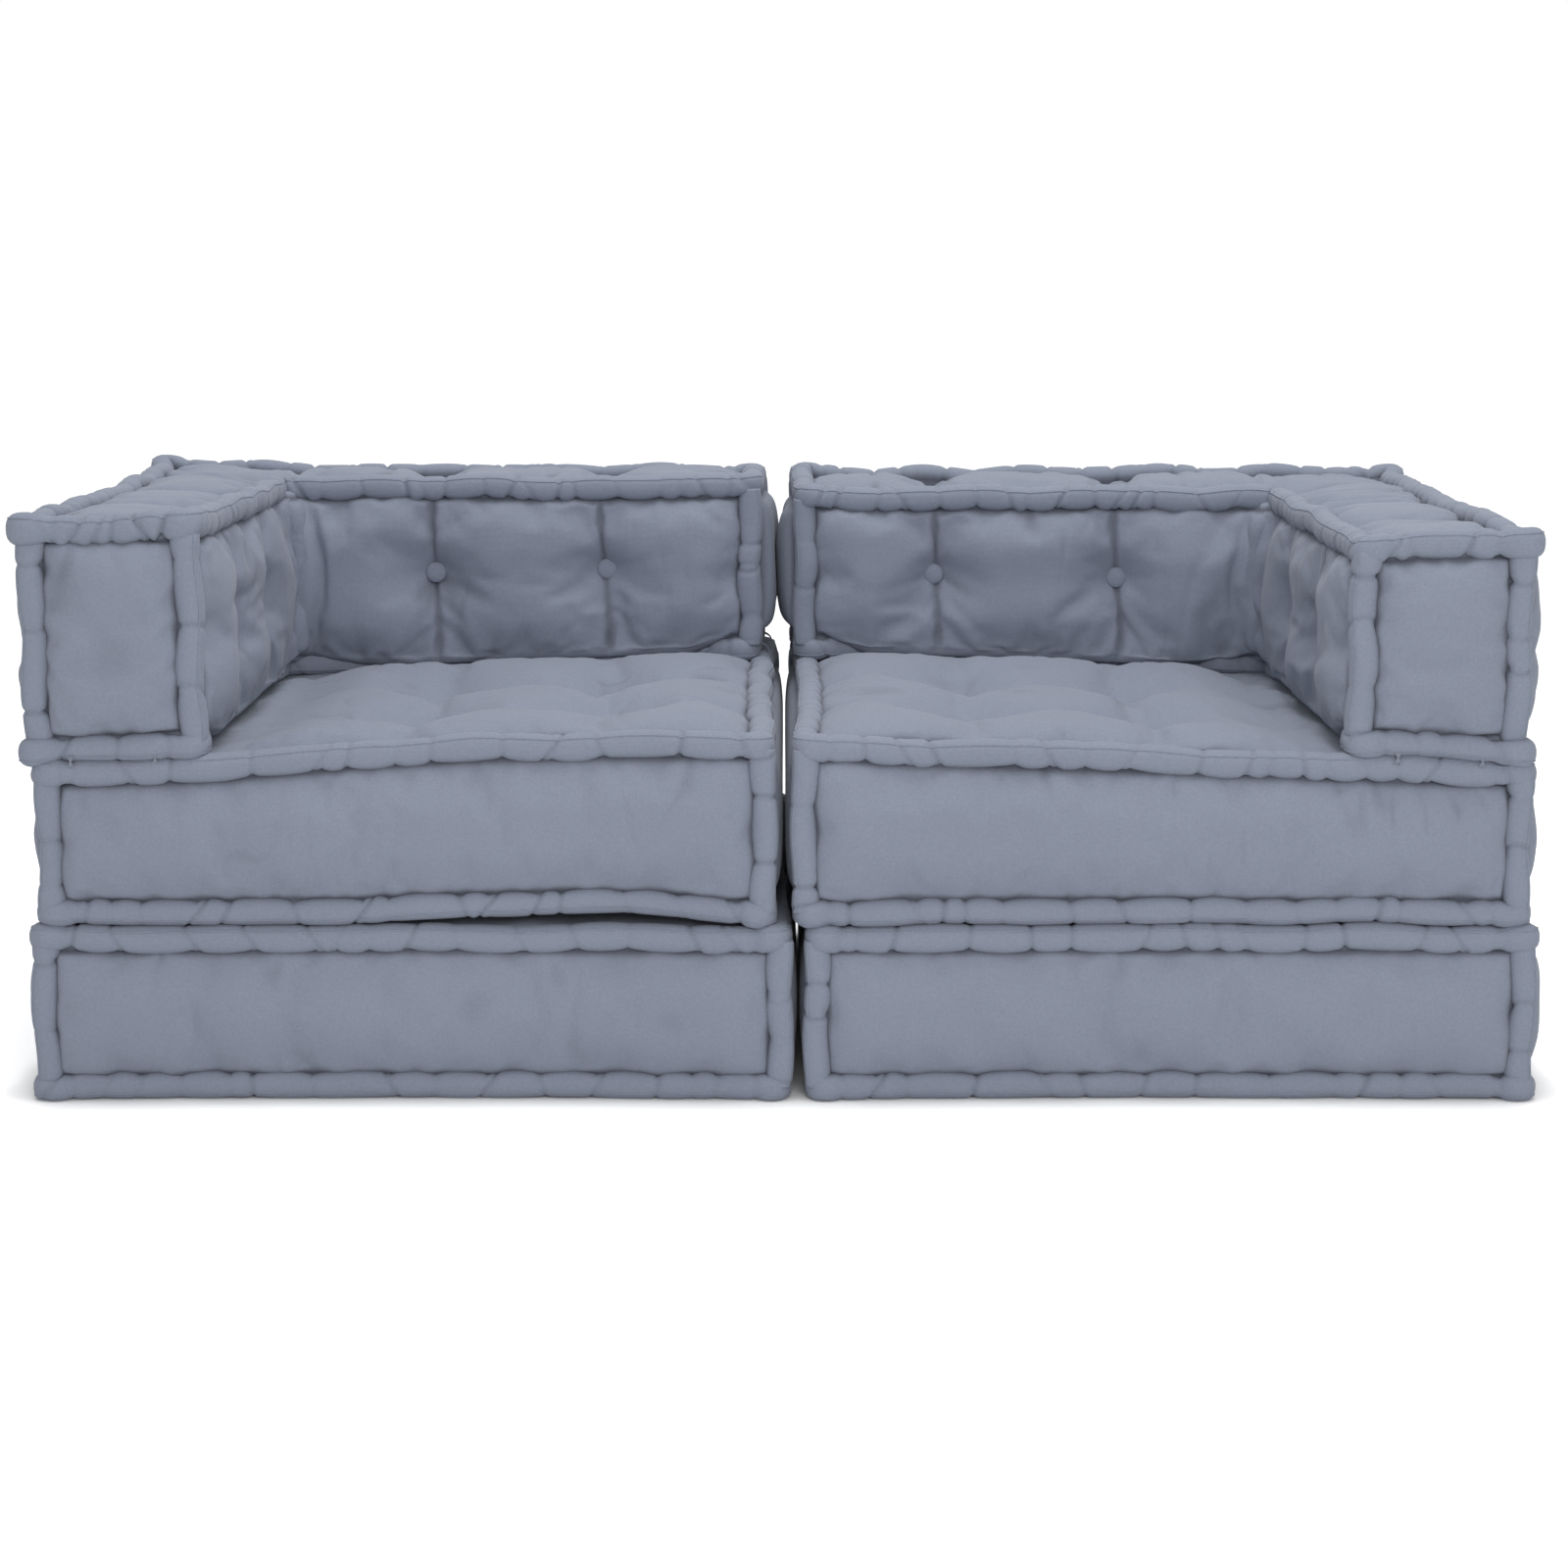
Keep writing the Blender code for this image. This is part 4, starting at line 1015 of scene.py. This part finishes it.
def add_stitch(label, name, material):
    """A tie of thread between the seat's roll and the back's: bowed strands that cross."""
    node = f"{label}_{name}"
    low, high = (np.array(c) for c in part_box(node))
    middle, size = (low + high) / 2, high - low
    forward = name.startswith("arm")
    out, across = (-Y_AXIS[0], X_AXIS) if forward else (-SIDES[label] * X_AXIS[0], Y_AXIS)
    depth = (size @ np.abs(out)) / 2
    bundle = Bundle()
    turns = np.linspace(-0.5 * math.pi, 0.5 * math.pi, THREAD_POINTS)
    for lean in THREAD_LEANS:
        path = (
            middle
            + np.outer(np.cos(turns) - LOOP_BACK, out * depth)
            + np.outer(np.sin(turns), np.array((0, 0, LOOP_HEIGHT * size[2] / 2)))
            + np.outer(lean * np.sin(turns), across)
        )
        tangent = np.gradient(path, axis=0)
        tangent /= np.linalg.norm(tangent, axis=1, keepdims=True)
        radius = np.full((THREAD_POINTS, THREAD_SIDES), THREAD_RADIUS)
        points = swept(path, across, np.cross(tangent, across), radius)
        bundle.add(points, tube_faces(THREAD_POINTS, THREAD_SIDES, False))
    made = make_object(f"{label}_{name}_thread", np.concatenate(bundle.points), bundle.faces, material)
    settle(made, f"{label}_seat", "twine", node)


# Materials


def set_inputs(node, values):
    for name, value in values.items():
        node.inputs[name].default_value = value


def add_node(tree, kind, **values):
    made = tree.nodes.new(kind)
    set_inputs(made, values)
    return made


def math_node(tree, operation, *values):
    """The result of a Math node; each value is a number or another node's output."""
    made = tree.nodes.new("ShaderNodeMath")
    made.operation = operation
    for value, socket in zip(values, made.inputs):
        if isinstance(value, bpy.types.NodeSocket):
            tree.links.new(value, socket)
        else:
            socket.default_value = value
    return made.outputs[0]


def new_material(name, surface):
    """A material with its node tree and its shader, which has the values of a surface."""
    made = bpy.data.materials.new(name)
    made.use_nodes = True
    shader = made.node_tree.nodes["Principled BSDF"]
    set_inputs(shader, surface)
    return made, made.node_tree, shader


def textured_material(name, colours, speckle, threads, bump):
    """A dull, speckled material with a fine relief: yarn and weave, twisted thread or foam cells. Its
    colour is darkened by the painted shade that a mesh keeps in seams and creases.
    """
    made, tree, shader = new_material(name, DULL)
    link = tree.links.new
    where = tree.nodes.new("ShaderNodeTexCoord").outputs["Object"]

    def texture(kind, **values):
        node = add_node(tree, kind, **values)
        link(where, node.inputs["Vector"])
        return node

    faded = texture("ShaderNodeTexNoise", Scale=5.0, Detail=3.0)
    yarn = texture("ShaderNodeTexNoise", Scale=speckle, Detail=2.0)
    mixed = math_node(tree, "MULTIPLY_ADD", faded.outputs["Fac"], FADING, yarn.outputs["Fac"])
    ramp = tree.nodes.new("ShaderNodeValToRGB")
    for element, position, tone in zip(ramp.color_ramp.elements, TONE_ENDS, colours):
        element.position, element.color = position, tone
    link(mixed, ramp.inputs["Fac"])
    # painted shade: the colour darkened where the mesh keeps painted shade, left as it is where the mesh
    # keeps none
    nook = tree.nodes.new("ShaderNodeAttribute")
    nook.attribute_name = "nook"
    shade = add_node(tree, "ShaderNodeMapRange", **{"To Min": 1.0, "To Max": DARKEST_PAINTED_SHADE})
    shaded = tree.nodes.new("ShaderNodeVectorMath")
    shaded.operation = "SCALE"
    link(nook.outputs["Fac"], shade.inputs["Value"])
    link(ramp.outputs["Color"], shaded.inputs[0])
    link(shade.outputs[0], shaded.inputs["Scale"])
    link(shaded.outputs[0], shader.inputs["Base Color"])
    lines = []
    for direction in ("X", "Z"):
        wave = texture("ShaderNodeTexWave", Scale=threads, Distortion=0.6, Detail=1.0)
        wave.bands_direction = direction
        lines.append(wave.outputs["Fac"])
    grain = texture("ShaderNodeTexNoise", Scale=90.0, Detail=4.0)
    fine = add_node(tree, "ShaderNodeBump", Strength=0.35, Distance=bump)
    coarse = add_node(tree, "ShaderNodeBump", Strength=0.25, Distance=3 * bump)
    link(math_node(tree, "ADD", *lines), fine.inputs["Height"])
    link(grain.outputs["Fac"], coarse.inputs["Height"])
    link(coarse.outputs["Normal"], fine.inputs["Normal"])
    link(fine.outputs["Normal"], shader.inputs["Normal"])
    return made


# The studio


def showing_rays(tree):
    """1 for the rays that show the background: the camera's, and those that gloss or glass sends on."""
    path = tree.nodes.new("ShaderNodeLightPath")
    rays = path.outputs["Is Camera Ray"]
    for other in ("Is Glossy Ray", "Is Transmission Ray"):
        rays = math_node(tree, "MAXIMUM", rays, path.outputs[other])
    return rays


def add_floor():
    """A white floor, lifted to the background's white except close to what stands on it."""
    bpy.ops.mesh.primitive_plane_add(size=FLOOR_SIZE)
    floor = bpy.context.object
    floor.name = "studio_floor"
    material, tree, shader = new_material("studio_white", FLOOR)
    link = tree.links.new
    glow = tree.nodes.new("ShaderNodeEmission")
    open_air = add_node(tree, "ShaderNodeAmbientOcclusion", Distance=SHADOW_REACH)
    faded = math_node(tree, "POWER", open_air.outputs["AO"], SHADOW_POWER)
    lift = math_node(tree, "MULTIPLY", faded, FLOOR_LIFT)
    link(math_node(tree, "MULTIPLY", lift, showing_rays(tree)), glow.inputs["Strength"])
    both = tree.nodes.new("ShaderNodeAddShader")
    link(shader.outputs[0], both.inputs[0])
    link(glow.outputs[0], both.inputs[1])
    link(both.outputs[0], tree.nodes["Material Output"].inputs["Surface"])
    floor.data.materials.append(material)


def add_world():
    """A world that is white to look at, and dimmer as a light."""
    world = bpy.data.worlds.new("studio")
    scene.world = world
    world.use_nodes = True
    tree = world.node_tree
    link = tree.links.new
    lit = tree.nodes["Background"]
    set_inputs(lit, {"Color": WHITE, "Strength": WORLD_LIGHT})
    seen = add_node(tree, "ShaderNodeBackground", Color=WHITE)
    choice = tree.nodes.new("ShaderNodeMixShader")
    link(showing_rays(tree), choice.inputs["Fac"])
    link(lit.outputs[0], choice.inputs[1])
    link(seen.outputs[0], choice.inputs[2])
    link(choice.outputs[0], tree.nodes["World Output"].inputs["Surface"])


def add_lamps():
    for name, (place, power) in LAMPS.items():
        light = bpy.data.lights.new(name, "AREA")
        light.shape, light.size, light.energy = "SQUARE", LAMP_SIZE, power
        lamp = add_object(name, light)
        lamp.location = place
        lamp.rotation_euler = (LAMP_AIM - lamp.location).to_track_quat("-Z", "Y").to_euler()


def add_camera():
    """The photograph's view: a little above the sofa, from the front."""
    data = bpy.data.cameras.new("camera")
    data.lens, data.sensor_width = LENS, SENSOR
    camera = add_object("camera", data)
    camera.location = CAMERA_PLACE
    camera.rotation_euler = (math.pi / 2 - CAMERA_TILT, 0, 0)
    scene.camera = camera


add_camera()
add_floor()
add_world()
add_lamps()
scene.view_settings.view_transform = "Standard"
cotton = textured_material("cotton", COTTON, speckle=420.0, threads=260.0, bump=0.0004)
button_cotton = textured_material("button_cotton", COTTON, speckle=520.0, threads=300.0, bump=0.0003)
thread = textured_material("thread", THREAD, speckle=900.0, threads=700.0, bump=0.0003)
foam = textured_material("foam", FOAM, speckle=160.0, threads=90.0, bump=0.001)

panels = [start_panels(Mattress(label, kind), cotton) for label in SIDES for kind in KINDS]
swell(panels)
for pad, piece, _ in panels:
    finish_panels(pad, piece)
    add_rolls(pad, cotton)
for label in SIDES:
    for number in range(1, BUTTON_PAIRS + 1):
        for where in ("front", "rear"):
            add_button(label, where, number, button_cotton)
    for name in ("arm_outer_stitch", "arm_inner_stitch", "back_front_stitch", "back_rear_stitch"):
        add_stitch(label, name, thread)
for name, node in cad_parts.items():
    if name.endswith("_core") or "_twine_" in name:
        node.data.materials.clear()
        node.data.materials.append(foam if name.endswith("_core") else thread)
